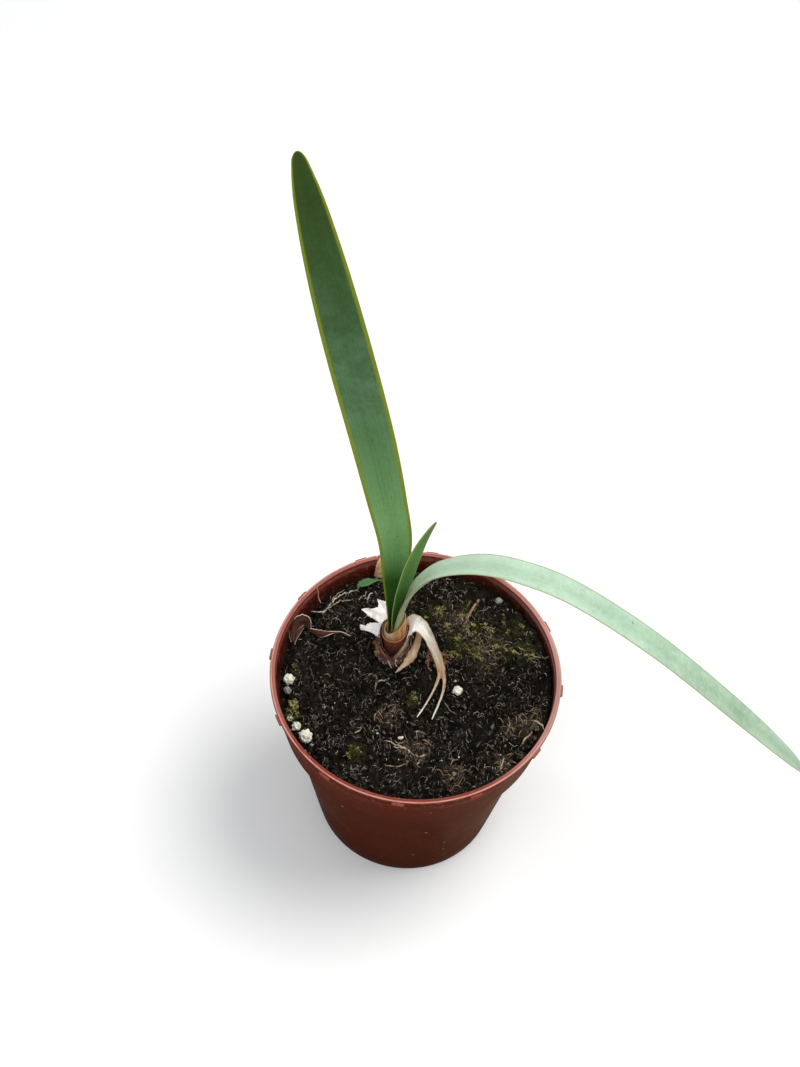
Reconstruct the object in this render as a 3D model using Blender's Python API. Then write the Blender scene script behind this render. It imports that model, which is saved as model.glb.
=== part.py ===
"""A potted strumaria: a bulb with three strap leaves in a thin plastic nursery pot.

Lengths here are millimetres, and mm() turns them into metres where vertices are made.
The origin is the centre of the pot's foot, +Z is up, and the long leaf arches to +X.
"""
import math

import bmesh
import bpy
from mathutils import Vector, noise

GAP = 0.3  # clearance between two pieces that touch
SHEET = 0.6  # thickness of a leaf's margin, dry skin or petiole

# Pot
POT_HEIGHT = 80.0
RIM_RADIUS = 45.0
RIM_LIP = 1.5
COLLAR_HEIGHT = 19.0
COLLAR_RADIUS = 41.9
BODY_RADIUS = 39.15
FOOT_RADIUS = 30.2
WALL = 1.1
DRAIN_HOLES = 8
DRAIN_RADIUS = 2.5
DRAIN_CIRCLE = 18.5
LUGS = 12
LUG_PHASE = -4.0
LUG_SIZE = (1.4, 3.9, 1.1)  # radial, along the rim, high
LUG_REACH = 0.55  # how far a lug stands out from the rim

# Soil
SOIL_LEVEL = 72.8
SOIL_SLOPE = 0.025
SOIL_LUMP = 0.75

# Bulb and neck
NECK = Vector((-7.4, 13.9))
NECK_RADIUS = 3.6
LIP_RADIUS = 4.1
SHEATH_RADIUS = 3.55
SOCKET_RADIUS = 2.95
SOCKET_FLOOR = 71.0
LIP_HEIGHT = 80.5
SHEATH_HEIGHT = 85.0
ROOTS = 6

# The leaf bases stand in the socket as a stack along this direction
STACK = Vector((0.866, -0.5, 0.0))
STACK_STEP = 1.55

# Loose pieces on the soil: x, y, radius
PERLITE = [(-39.2, -1.8, 1.7), (-35.5, -18.1, 1.4), (-32.4, -21.2, 2.0),
           (-37.7, -15.4, 0.95), (13.4, -2.2, 1.5)]
STONES = [(-39.3, -5.6, 1.2), (25.6, 31.6, 1.15)]
BARK = (-37.0, -10.6, 1.8)


def mm(x, y, z):
    """A point given in millimetres, as metres."""
    return Vector((x, y, z)) * 0.001


def clear_scene():
    for old in list(bpy.data.objects):
        bpy.data.objects.remove(old, do_unlink=True)


def make_material(name, colour, roughness):
    material = bpy.data.materials.new(name)
    material.use_nodes = True
    shader = material.node_tree.nodes["Principled BSDF"]
    shader.inputs["Base Color"].default_value = (*colour, 1.0)
    shader.inputs["Roughness"].default_value = roughness
    shader.inputs["Metallic"].default_value = 0.0
    return material


def add_piece(name, bm, material, sharp=50.0):
    """Turns a bmesh into a named object, shaded smooth up to the given edge angle."""
    bmesh.ops.recalc_face_normals(bm, faces=bm.faces)
    mesh = bpy.data.meshes.new(name)
    bm.to_mesh(mesh)
    bm.free()
    mesh.shade_smooth()
    mesh.set_sharp_from_angle(angle=math.radians(sharp))
    if material:
        mesh.materials.append(material)
    piece = bpy.data.objects.new(name, mesh)
    bpy.context.scene.collection.objects.link(piece)
    return piece


def add_guide(name, bm):
    """A shape that only joins or cuts another one."""
    guide = add_piece(name, bm, None)
    guide.hide_render = True
    guide.display_type = "WIRE"
    return guide


def combine(piece, guide, operation):
    modifier = piece.modifiers.new(guide.name, "BOOLEAN")
    modifier.operation = operation
    modifier.object = guide
    modifier.solver = "EXACT"


def bridge(bm, lower, upper):
    """Joins two rings of equal length with faces; a ring of one vertex is a pole."""
    count = max(len(lower), len(upper))
    for k in range(count):
        after = (k + 1) % count
        if len(lower) == 1:
            bm.faces.new((lower[0], upper[after], upper[k]))
        elif len(upper) == 1:
            bm.faces.new((lower[k], lower[after], upper[0]))
        else:
            bm.faces.new((lower[k], lower[after], upper[after], upper[k]))


def turned(profile, sides, centre=(0.0, 0.0), lift=None, closed=False):
    """Turns (radius, height) points round a vertical axis.

    lift(angle, index) is added to a point's height. A closed profile gives a ring.
    """
    bm = bmesh.new()
    rings = []
    for index, (radius, height) in enumerate(profile):
        count = sides if radius > 0 else 1
        ring = []
        for k in range(count):
            angle = 2 * math.pi * k / sides
            x = centre[0] + radius * math.cos(angle)
            y = centre[1] + radius * math.sin(angle)
            z = height + (lift(angle, index) if lift else 0.0)
            ring.append(bm.verts.new(mm(x, y, z)))
        rings.append(ring)
    for lower, upper in zip(rings, rings[1:]):
        bridge(bm, lower, upper)
    if closed:
        bridge(bm, rings[-1], rings[0])
    return bm


def smooth(stations, count):
    """Samples a smooth curve (Catmull-Rom) through stations of any number of values."""
    ends = [[2 * a - b for a, b in zip(stations[0], stations[1])],
            [2 * a - b for a, b in zip(stations[-1], stations[-2])]]
    points = [ends[0], *stations, ends[1]]
    samples = []
    for k in range(count):
        place = k * (len(stations) - 1) / (count - 1)
        index = min(int(place), len(stations) - 2)
        t = place - index
        p0, p1, p2, p3 = points[index:index + 4]
        samples.append([b + 0.5 * t * (c - a + t * (2 * a - 5 * b + 4 * c - d + t * (3 * (b - c) + d - a)))
                        for a, b, c, d in zip(p0, p1, p2, p3)])
    return samples


def ease(t):
    t = min(max(t, 0.0), 1.0)
    return t * t * (3 - 2 * t)


def blade(stations, count, sides, turn_by=1.0, columns=7, grow=0.0):
    """A thin closed blade along stations of (x, y, z, width, cup, thickness).

    sides gives the direction across the blade at its start and end, and turn_by the part of
    the length over which it turns. cup raises both margins, and thickness is at the midrib.
    """
    samples = smooth(stations, count)
    points = [Vector(sample[:3]) for sample in samples]
    start = (points[0] - points[1]).normalized() * grow
    end = (points[-1] - points[-2]).normalized() * grow
    points[0] = points[0] + start
    points[-1] = points[-1] + end
    bm = bmesh.new()
    tops = []
    bottoms = []
    for k, point in enumerate(points):
        tangent = (points[min(k + 1, count - 1)] - points[max(k - 1, 0)]).normalized()
        across = sides[0].lerp(sides[1], ease(k / (count - 1) / turn_by))
        across = (across - tangent * across.dot(tangent)).normalized()
        normal = tangent.cross(across)
        width, cup, thickness = samples[k][3:]
        top = []
        bottom = []
        for j in range(columns):
            u = 2 * j / (columns - 1) - 1
            middle = point + across * u * (width / 2 + grow) + normal * cup * u * u
            half = (SHEET + (max(thickness, SHEET) - SHEET) * (1 - u * u)) / 2 + grow
            top.append(bm.verts.new(mm(*(middle + normal * half))))
            bottom.append(bm.verts.new(mm(*(middle - normal * half))))
        tops.append(top)
        bottoms.append(bottom)
    for k in range(count - 1):
        for j in range(columns - 1):
            for rows, flip in ((tops, False), (bottoms, True)):
                a, b = rows[k][j], rows[k][j + 1]
                c, d = rows[k + 1][j + 1], rows[k + 1][j]
                for face in ((a, b, c), (a, c, d)):
                    bm.faces.new(face[::-1] if flip else face)
        for j, flip in ((0, True), (columns - 1, False)):
            face = (tops[k][j], bottoms[k][j], bottoms[k + 1][j], tops[k + 1][j])
            bm.faces.new(face[::-1] if flip else face)
    for k in (0, count - 1):
        bm.faces.new(tops[k] + bottoms[k][::-1])
    return bm


def rod(stations, count, sides, grow=0.0):
    """A round, tapering rod along stations of (x, y, z, radius)."""
    samples = smooth(stations, count)
    points = [Vector(sample[:3]) for sample in samples]
    points[0] = points[0] + (points[0] - points[1]).normalized() * grow
    points[-1] = points[-1] + (points[-1] - points[-2]).normalized() * grow
    bm = bmesh.new()
    rings = []
    for k, point in enumerate(points):
        tangent = (points[min(k + 1, count - 1)] - points[max(k - 1, 0)]).normalized()
        first = tangent.orthogonal().normalized() if k == 0 else first - tangent * first.dot(tangent)
        first = first.normalized()
        second = tangent.cross(first)
        radius = samples[k][3] + grow
        ring = []
        for j in range(sides):
            angle = 2 * math.pi * j / sides
            offset = first * math.cos(angle) * radius + second * math.sin(angle) * radius
            ring.append(bm.verts.new(mm(*(point + offset))))
        rings.append(ring)
    for lower, upper in zip(rings, rings[1:]):
        bridge(bm, lower, upper)
    bm.faces.new(rings[0])
    bm.faces.new(rings[-1][::-1])
    return bm


def grain(x, y, radius, roughness, grow=0.0):
    """An uneven lump, sunk by a third into the soil at (x, y)."""
    centre = Vector((x, y, soil_height(x, y) + 0.35 * radius))
    bm = bmesh.new()
    bmesh.ops.create_icosphere(bm, subdivisions=2, radius=1.0)
    for vertex in bm.verts:
        direction = vertex.co.normalized()
        bump = noise.noise(direction * 1.7 + Vector((x, y, 0.0)))
        distance = radius * (1 + roughness * bump) + grow
        vertex.co = mm(*(centre + direction * distance))
    return bm


def soil_height(x, y):
    """Height of the soil's lumpy surface, with a dip at the front left of the neck."""
    lump = noise.noise(Vector((x, y, 0.0)) * 0.13) + 0.6 * noise.noise(Vector((x, y, 9.0)) * 0.31)
    away = (Vector((x, y)) - NECK - Vector((-1.0, -3.0))).length
    dip = 2.2 * math.exp(-(away / 5.5) ** 2)
    return SOIL_LEVEL + SOIL_SLOPE * x + SOIL_LUMP * lump - dip


def pot_profile():
    """Half section of the pot, from the middle of its underside round to its floor."""
    step = POT_HEIGHT - COLLAR_HEIGHT
    return [
        (0.0, 0.0), (11.0, 0.0), (12.0, 2.2), (25.0, 2.2), (26.2, 0.0),
        (FOOT_RADIUS - 0.6, 0.0), (FOOT_RADIUS, 0.6),
        (BODY_RADIUS, step - 1.0),
        (COLLAR_RADIUS, step), (COLLAR_RADIUS + 0.06, step + 0.4),
        (RIM_RADIUS - 0.6, POT_HEIGHT - RIM_LIP - 0.25),
        (RIM_RADIUS - 0.1, POT_HEIGHT - RIM_LIP), (RIM_RADIUS, POT_HEIGHT - 0.4),
        (RIM_RADIUS - 0.35, POT_HEIGHT), (RIM_RADIUS - 1.3, POT_HEIGHT),
        (RIM_RADIUS - 1.6, POT_HEIGHT - 0.4),
        *inner_profile()[::-1],
        (0.0, inner_profile()[0][1]),
    ]


def inner_profile():
    """Inside of the pot's wall, from the floor up to below the rim."""
    step = POT_HEIGHT - COLLAR_HEIGHT
    return [
        (FOOT_RADIUS - WALL - 0.6, 3.4), (FOOT_RADIUS - WALL + 0.4, 4.2),
        (BODY_RADIUS - WALL - 0.1, step + 0.1),
        (COLLAR_RADIUS - WALL - 0.1, step + 1.1),
        (RIM_RADIUS - 0.6 - WALL, POT_HEIGHT - RIM_LIP - 0.25),
    ]


def inner_radius(height):
    """Radius of the pot's inner wall at a height."""
    points = inner_profile()
    for (r0, z0), (r1, z1) in zip(points, points[1:]):
        if height <= z1:
            return r0 + (r1 - r0) * (height - z0) / (z1 - z0)
    return points[-1][0]


def box(bm, size, place, angle):
    """Adds a box, centred at (radius, height) and then turned round Z by the angle."""
    corners = bmesh.ops.create_cube(bm, size=1.0)["verts"]
    radius, height = place
    for vertex in corners:
        x, y, z = (a * b for a, b in zip(vertex.co, size))
        x += radius
        turned_x = x * math.cos(angle) - y * math.sin(angle)
        turned_y = x * math.sin(angle) + y * math.cos(angle)
        vertex.co = mm(turned_x, turned_y, z + height)


def build_pot(material):
    pot = add_piece("pot", turned(pot_profile(), 64), material, sharp=30.0)
    lugs = bmesh.new()
    for k in range(LUGS):
        angle = math.radians(LUG_PHASE + 360 * k / LUGS)
        box(lugs, LUG_SIZE, (RIM_RADIUS + LUG_REACH - LUG_SIZE[0] / 2, POT_HEIGHT - 1.03), angle)
    bmesh.ops.bevel(lugs, geom=lugs.edges[:], offset=0.0003, segments=1, affect="EDGES")
    combine(pot, add_guide("lug_shapes", lugs), "UNION")
    holes = bmesh.new()
    for k in range(DRAIN_HOLES):
        angle = 2 * math.pi * (k + 0.06) / DRAIN_HOLES
        made = bmesh.ops.create_cone(holes, cap_ends=True, segments=14, radius1=DRAIN_RADIUS * 0.001,
                                     radius2=DRAIN_RADIUS * 0.001, depth=0.008)
        place = mm(DRAIN_CIRCLE * math.cos(angle), DRAIN_CIRCLE * math.sin(angle), 3.0)
        bmesh.ops.translate(holes, vec=place, verts=made["verts"])
    combine(pot, add_guide("drain_hole_shapes", holes), "DIFFERENCE")
    nick = bmesh.new()
    box(nick, (4.0, 1.0, 1.6), (RIM_RADIUS - 0.6, POT_HEIGHT), math.radians(109.0))
    combine(pot, add_guide("rim_nick_shape", nick), "DIFFERENCE")
    return pot


def bulb_profile(grow=0.0):
    """Half section of the bulb up to the soil's surface, or of the space that it fills."""
    points = [(4.5, 34.4), (6.8, 36.2), (10.6, 40.2), (12.2, 46.0), (11.5, 52.0), (9.0, 58.0),
              (6.2, 62.4), (4.5, 66.0), (NECK_RADIUS, 69.5)]
    if not grow:
        return [(0.0, 34.0), *points]
    return [(0.0, 34.0 - grow), *[(r + grow, z - (grow if z < 46 else 0.0)) for r, z in points]]


def lip_lift(angle, index):
    """The neck's outer lip is nearly level, and its inner sheath rises to the right."""
    top = len(bulb_profile())
    if index in (top + 2, top + 3):
        return 1.0 * math.cos(angle - 0.7)
    if index in (top + 5, top + 6, top + 7):
        return 3.8 * math.cos(angle - 0.2)
    return 0.0


def root_stations(index):
    """One fleshy root from under the bulb, bending out and down."""
    angle = 2 * math.pi * (index + 0.3) / ROOTS
    reach = 11.0 + 3.0 * math.sin(index * 2.4)
    direction = Vector((math.cos(angle), math.sin(angle)))
    stations = []
    for part, drop, radius in ((0.2, 0.0, 1.0), (0.5, 5.0, 0.9), (0.8, 13.0, 0.8), (1.0, 22.0, 0.6)):
        place = NECK + direction * reach * part
        stations.append((place.x, place.y, 36.0 - drop, radius))
    return stations


def build_bulb(material):
    profile = [
        *bulb_profile(),
        (NECK_RADIUS, 73.0), (NECK_RADIUS + 0.25, 77.0),
        (LIP_RADIUS, LIP_HEIGHT), (LIP_RADIUS - 0.4, LIP_HEIGHT + 0.1),
        (SHEATH_RADIUS, LIP_HEIGHT - 1.2),
        (SHEATH_RADIUS, SHEATH_HEIGHT - 0.2), (SHEATH_RADIUS - 0.2, SHEATH_HEIGHT),
        (SOCKET_RADIUS, SHEATH_HEIGHT - 0.1),
        (SOCKET_RADIUS, SOCKET_FLOOR), (0.0, SOCKET_FLOOR),
    ]
    bulb = add_piece("bulb", turned(profile, 32, NECK, lip_lift), material)
    for k in range(ROOTS):
        combine(bulb, add_guide(f"root_shape_{k + 1}", rod(root_stations(k), 6, 6)), "UNION")
    return bulb


def leaf_base(offset):
    """Where a leaf stands in the socket, at a place along the stack."""
    return Vector((*NECK, 0.0)) + STACK * offset * STACK_STEP


def upright_leaf():
    x, y, _ = leaf_base(-1)
    stations = [
        (x, y, SOCKET_FLOOR + GAP, 3.8, 0.6, 0.9), (x, y, 79.0, 3.8, 0.6, 0.9),
        (x + 0.3, y + 1.4, 88.0, 4.3, 0.7, 1.0), (-8.6, 18.2, 100.0, 6.4, 0.8, 1.1),
        (-9.0, 20.7, 119.0, 10.0, 0.9, 1.2), (-12.1, 23.0, 136.0, 11.7, 0.9, 1.2),
        (-16.9, 26.3, 159.0, 12.7, 0.8, 1.1), (-23.6, 30.2, 187.0, 12.8, 0.7, 1.0),
        (-29.7, 33.8, 212.7, 11.3, 0.5, 0.9), (-34.6, 36.8, 234.0, 8.2, 0.3, 0.7),
        (-37.2, 38.5, 245.5, 4.6, 0.1, 0.6), (-37.8, 38.9, 248.6, 2.6, 0.0, 0.6),
        (-38.0, 39.0, 249.5, 0.9, 0.0, 0.6),
    ]
    sides = (Vector((-0.5, -0.866, 0.0)), Vector((-1.0, -0.05, -0.1)))
    return blade(stations, 37, sides, turn_by=0.31)


def arching_leaf():
    x, y, _ = leaf_base(1)
    stations = [
        (x, y, SOCKET_FLOOR + GAP, 4.2, 0.7, 0.9), (x, y, 79.0, 4.3, 0.7, 0.9),
        (x + 0.3, y - 0.1, 88.0, 4.8, 0.8, 1.0), (x + 1.8, y - 0.3, 98.5, 6.2, 1.0, 1.1),
        (-1.4, 11.9, 108.8, 6.8, 1.2, 1.2), (4.8, 10.3, 119.8, 7.0, 1.1, 1.2),
        (15.8, 7.6, 127.9, 7.8, 0.9, 1.2), (28.2, 4.7, 129.5, 8.3, 0.7, 1.2),
        (44.8, 0.6, 125.5, 8.5, 0.6, 1.1), (69.8, -5.7, 110.8, 8.5, 0.5, 1.0),
        (97.2, -12.5, 88.4, 8.1, 0.4, 0.9), (113.0, -16.5, 74.6, 5.8, 0.3, 0.7),
        (120.2, -18.3, 67.8, 3.0, 0.1, 0.6), (122.8, -18.9, 65.4, 0.8, 0.0, 0.6),
    ]
    sides = (Vector((0.5, 0.866, 0.0)), Vector((0.242, 0.970, 0.0)))
    return blade(stations, 44, sides, turn_by=0.3)


def young_leaf():
    x, y, _ = leaf_base(0)
    stations = [
        (x, y, SOCKET_FLOOR + GAP, 2.6, 0.0, 0.7), (x, y, 79.0, 2.8, 0.1, 0.7),
        (x - 0.2, y, 88.0, 3.0, 0.2, 0.8), (-6.9, 13.5, 99.0, 3.6, 0.4, 0.9),
        (-5.4, 13.1, 109.0, 4.4, 0.5, 0.9), (-3.8, 13.0, 119.0, 4.3, 0.4, 0.8),
        (-1.6, 13.0, 129.0, 3.3, 0.2, 0.7), (0.7, 13.0, 136.5, 1.9, 0.1, 0.6),
        (2.2, 13.0, 140.3, 0.7, 0.0, 0.6),
    ]
    sides = (Vector((-0.5, -0.866, 0.0)), Vector((-0.93, -0.35, 0.1)))
    return blade(stations, 22, sides, turn_by=0.6)


def tunic_ring(grow=0.0):
    """The dry skin round the neck: low in front, high at both sides, as a closed ring."""
    def lift(angle, index):
        if index in (0, 3):
            return 0.0
        side = 4.4 + 4.6 * math.cos(angle) ** 2 + 2.0 * math.cos(angle) + 2.5 * math.sin(angle)
        return max(side, 0.6)

    inner = [(NECK_RADIUS + GAP + 0.15, 68.5), (LIP_RADIUS + GAP + 0.1, 73.0)]
    low, high = inner
    profile = [
        (low[0] - grow, low[1] - grow), (high[0] - grow, high[1] + grow),
        (high[0] + SHEET + grow, high[1] + grow), (low[0] + SHEET + grow, low[1] - grow),
    ]
    return turned(profile, 32, NECK, lift, closed=True)


def tunic_strips(grow=0.0):
    """The torn strips of the dry skin: two lobes, the long strap with its tails, a tan strip."""
    up = Vector((0.0, 0.0, 1.0))
    thin = SHEET
    back_lobe = [(-11.35, 16.55, 78.6, 5.0, 0.3, thin), (-11.7, 16.9, 81.0, 7.2, 0.5, thin),
                 (-13.0, 18.4, 82.6, 6.4, 0.5, thin), (-15.4, 19.8, 82.4, 3.8, 0.2, thin),
                 (-18.6, 21.2, 80.6, 0.8, 0.0, thin)]
    front_lobe = [(-12.3, 13.2, 76.4, 4.2, 0.2, thin), (-13.8, 14.0, 77.8, 3.8, 0.4, thin),
                  (-16.2, 15.3, 77.9, 2.4, 0.3, thin), (-18.6, 16.6, 76.4, 0.8, 0.0, thin)]
    strap = [(-2.5, 14.6, 81.0, 6.0, 0.2, thin), (-1.4, 14.6, 83.6, 5.8, 0.5, thin),
             (0.6, 13.6, 84.4, 4.6, 0.6, thin), (3.0, 11.6, 82.4, 3.2, 0.4, thin),
             (5.0, 9.3, 79.4, 2.9, 0.3, thin), (7.0, 6.6, 76.0, 2.8, 0.2, thin),
             (8.0, 3.6, 74.2, 2.6, 0.1, thin), (8.1, 1.8, 73.8, 2.0, 0.0, thin)]
    left_tail = [(7.7, 3.4, 74.2, 1.4, 0.0, thin), (6.9, -0.1, 73.9, 1.4, 0.0, thin),
                 (5.4, -4.5, 73.8, 1.1, 0.0, thin), (3.4, -8.9, 73.7, 0.9, 0.0, thin),
                 (1.4, -12.7, 73.6, 0.6, 0.0, thin)]
    right_tail = [(8.4, 3.4, 74.2, 1.4, 0.0, thin), (9.1, 0.1, 73.9, 1.5, 0.0, thin),
                  (8.7, -3.9, 73.8, 1.2, 0.0, thin), (7.6, -8.0, 73.7, 0.9, 0.0, thin),
                  (6.0, -12.9, 73.6, 0.6, 0.0, thin)]
    tan_strip = [(0.6, 13.4, 83.9, 1.6, 0.0, thin), (0.2, 11.4, 80.4, 1.8, 0.0, thin),
                 (-0.9, 8.7, 77.2, 2.4, 0.2, thin), (-2.4, 6.4, 74.9, 2.5, 0.2, thin),
                 (-4.4, 4.4, 73.5, 1.5, 0.1, thin), (-6.3, 2.5, 72.9, 0.7, 0.0, thin)]
    level = Vector((1.0, 0.15, 0.1))
    return [
        blade(back_lobe, 9, (Vector((0.45, 0.72, 0.5)), Vector((0.35, 0.75, 0.4))), 1.0, 5, grow),
        blade(front_lobe, 7, (Vector((0.2, 0.9, 0.3)), Vector((0.4, 0.8, 0.2))), 1.0, 5, grow),
        blade(strap, 16, (Vector((0.1, 0.6, 0.8)), Vector((0.95, 0.25, 0.2))), 0.6, 5, grow),
        blade(left_tail, 9, (level, level), 1.0, 3, grow),
        blade(right_tail, 9, (level, level), 1.0, 3, grow),
        blade(tan_strip, 10, (Vector((0.9, 0.3, 0.3)), Vector((0.75, -0.6, 0.1))), 1.0, 3, grow),
    ]


def build_tunic(material):
    tunic = add_piece("tunic", tunic_ring(), material)
    for k, strip in enumerate(tunic_strips()):
        combine(tunic, add_guide(f"tunic_strip_{k + 1}", strip), "UNION")
    return tunic


def withered_weed(grow=0.0):
    """A curled dead seedling at the left wall: hanging leaf, arched stalk, leaflet and stem."""
    stations = [
        (-38.7, 10.3, 74.0, 0.9, 0.0, SHEET), (-38.9, 12.0, 75.6, 2.2, 0.4, SHEET),
        (-38.5, 13.8, 77.0, 2.4, 0.5, SHEET), (-37.5, 15.7, 77.9, 1.6, 0.2, SHEET),
        (-36.1, 17.2, 78.3, 1.0, 0.0, SHEET), (-34.6, 17.7, 77.4, 1.0, 0.0, SHEET),
        (-33.7, 16.7, 75.6, 1.0, 0.0, SHEET), (-32.8, 15.5, 74.3, 1.4, 0.1, SHEET),
        (-30.6, 15.1, 74.0, 2.6, 0.3, SHEET), (-28.4, 15.6, 73.6, 1.4, 0.1, SHEET),
        (-24.3, 16.0, 73.1, 0.8, 0.0, SHEET), (-21.4, 15.1, 72.6, 0.7, 0.0, SHEET),
    ]
    sides = (Vector((1.0, 0.2, 0.2)), Vector((0.0, 1.0, 0.2)))
    return blade(stations, 28, sides, 1.0, 3, grow)


def dry_leaf(grow=0.0):
    """A scrap of dry leaf, standing in the soil and leaning back to the wall."""
    stations = [
        (-13.2, 38.6, 71.6, 3.2, 0.2, SHEET), (-13.1, 38.9, 75.0, 4.0, 0.3, SHEET),
        (-13.0, 39.4, 79.0, 3.8, 0.4, SHEET), (-13.1, 40.3, 82.0, 1.4, 0.1, SHEET),
    ]
    sides = (Vector((-1.0, -0.25, 0.0)), Vector((-1.0, -0.2, 0.1)))
    return blade(stations, 8, sides, 1.0, 5, grow)


def seedling(grow=0.0):
    """A small green seedling: one leaf held over the soil on a thin stem."""
    stations = [
        (-20.4, 32.8, 75.3, 0.8, 0.0, SHEET), (-19.2, 33.5, 75.6, 2.2, 0.2, SHEET),
        (-17.4, 34.4, 75.6, 2.8, 0.3, SHEET), (-15.4, 35.3, 75.4, 1.6, 0.1, SHEET),
        (-13.6, 36.0, 75.0, 0.8, 0.0, SHEET), (-10.6, 36.4, 73.6, 0.8, 0.0, 0.7),
        (-8.8, 36.2, 71.4, 0.8, 0.0, 0.7),
    ]
    sides = (Vector((-0.5, 0.85, 0.0)), Vector((-0.1, 1.0, 0.0)))
    return blade(stations, 16, sides, 1.0, 3, grow)


def twig(grow=0.0):
    """A dry twig, lying half sunk on the soil."""
    start = Vector((19.1, 31.3))
    end = Vector((15.2, 22.5))
    stations = []
    for part, radius in ((0.0, 0.65), (0.35, 0.5), (0.7, 0.5), (1.0, 0.4)):
        place = start.lerp(end, part)
        bend = 0.5 * math.sin(part * math.pi)
        stations.append((place.x - bend, place.y, soil_height(*place) + 0.45, radius))
    return rod(stations, 6, 6, grow)


def build_soil(material, cutters):
    bottom = inner_profile()[0][1] + GAP
    walls = [(radius - GAP, height) for radius, height in inner_profile()[1:4]]
    sides = 56
    top_rings = [41.0, 38.5, 35.0, 31.0, 27.0, 23.0, 19.0, 15.0, 11.0, 7.0, 3.5]
    bm = bmesh.new()
    rings = [[bm.verts.new(mm(0.0, 0.0, bottom))]]
    for radius, height in [(walls[0][0] - 0.8, bottom), *walls]:
        rings.append([bm.verts.new(mm(radius * math.cos(a), radius * math.sin(a), height))
                      for a in [2 * math.pi * k / sides for k in range(sides)]])
    edge = []
    for k in range(sides):
        angle = 2 * math.pi * k / sides
        height = soil_height(42.3 * math.cos(angle), 42.3 * math.sin(angle))
        radius = inner_radius(height) - GAP
        edge.append(bm.verts.new(mm(radius * math.cos(angle), radius * math.sin(angle), height)))
    rings.append(edge)
    for radius in top_rings:
        ring = []
        for k in range(sides):
            angle = 2 * math.pi * k / sides
            x, y = radius * math.cos(angle), radius * math.sin(angle)
            ring.append(bm.verts.new(mm(x, y, soil_height(x, y))))
        rings.append(ring)
    rings.append([bm.verts.new(mm(0.0, 0.0, soil_height(0.0, 0.0)))])
    for lower, upper in zip(rings, rings[1:]):
        bridge(bm, lower, upper)
    soil = add_piece("soil", bm, material)
    for name, cutter in cutters:
        combine(soil, add_guide(name, cutter), "DIFFERENCE")
    return soil


def soil_cutters():
    """The spaces in the soil that the other pieces fill, each larger by the clearance."""
    around = SHEET + 3 * GAP
    hole = [*bulb_profile(GAP)[:-1], (NECK_RADIUS + around, 66.5),
            (LIP_RADIUS + around, 73.0), (LIP_RADIUS + around, 90.0), (0.0, 90.0)]
    cutters = [("bulb_space", turned(hole, 32, NECK))]
    for k in range(ROOTS):
        cutters.append((f"root_space_{k + 1}", rod(root_stations(k), 6, 6, GAP)))
    for k, strip in enumerate(tunic_strips(GAP)):
        cutters.append((f"strip_space_{k + 1}", strip))
    for k, (x, y, radius) in enumerate(PERLITE):
        cutters.append((f"perlite_space_{k + 1}", grain(x, y, radius, 0.35, GAP)))
    for k, (x, y, radius) in enumerate(STONES):
        cutters.append((f"stone_space_{k + 1}", grain(x, y, radius, 0.2, GAP)))
    cutters.append(("bark_space", grain(*BARK, 0.5, GAP)))
    cutters.append(("weed_space", withered_weed(GAP)))
    cutters.append(("dry_leaf_space", dry_leaf(GAP)))
    cutters.append(("seedling_space", seedling(GAP)))
    cutters.append(("twig_space", twig(GAP)))
    return cutters


def main():
    clear_scene()
    plastic = make_material("pot_plastic", (0.17, 0.035, 0.022), 0.45)
    mix = make_material("potting_mix", (0.022, 0.017, 0.013), 0.95)
    bulb_skin = make_material("bulb_skin", (0.36, 0.13, 0.07), 0.6)
    green = make_material("leaf_green", (0.07, 0.2, 0.1), 0.45)
    glaucous = make_material("leaf_glaucous", (0.33, 0.52, 0.38), 0.5)
    paper = make_material("dry_skin", (0.75, 0.66, 0.55), 0.8)
    white = make_material("perlite", (0.8, 0.78, 0.68), 0.9)
    stone = make_material("stone", (0.22, 0.21, 0.19), 0.85)
    dry = make_material("dry_plant", (0.32, 0.2, 0.12), 0.85)

    build_pot(plastic)
    build_soil(mix, soil_cutters())
    build_bulb(bulb_skin)
    build_tunic(paper)
    add_piece("leaf_upright", upright_leaf(), green)
    add_piece("leaf_arching", arching_leaf(), glaucous)
    add_piece("leaf_young", young_leaf(), green)
    add_piece("seedling", seedling(), green)
    add_piece("withered_weed", withered_weed(), dry)
    add_piece("dry_leaf", dry_leaf(), dry)
    add_piece("twig", twig(), dry)
    add_piece("bark_chip", grain(*BARK, 0.5), dry)
    for k, (x, y, radius) in enumerate(PERLITE):
        add_piece(f"perlite_{k + 1}", grain(x, y, radius, 0.35), white)
    for k, (x, y, radius) in enumerate(STONES):
        add_piece(f"stone_{k + 1}", grain(x, y, radius, 0.2), stone)


main()
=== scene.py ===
"""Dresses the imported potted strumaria: pot, soil, neck, papery skin, leaves, light and camera.

Lengths are millimetres, as on the plant, and make_piece() turns them into metres. Numbers in a
material's noise scale are per metre, because the materials read the object's coordinates.
"""
import math
import random

import bmesh
import bpy
from mathutils import Euler, Matrix, Vector, noise


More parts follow.
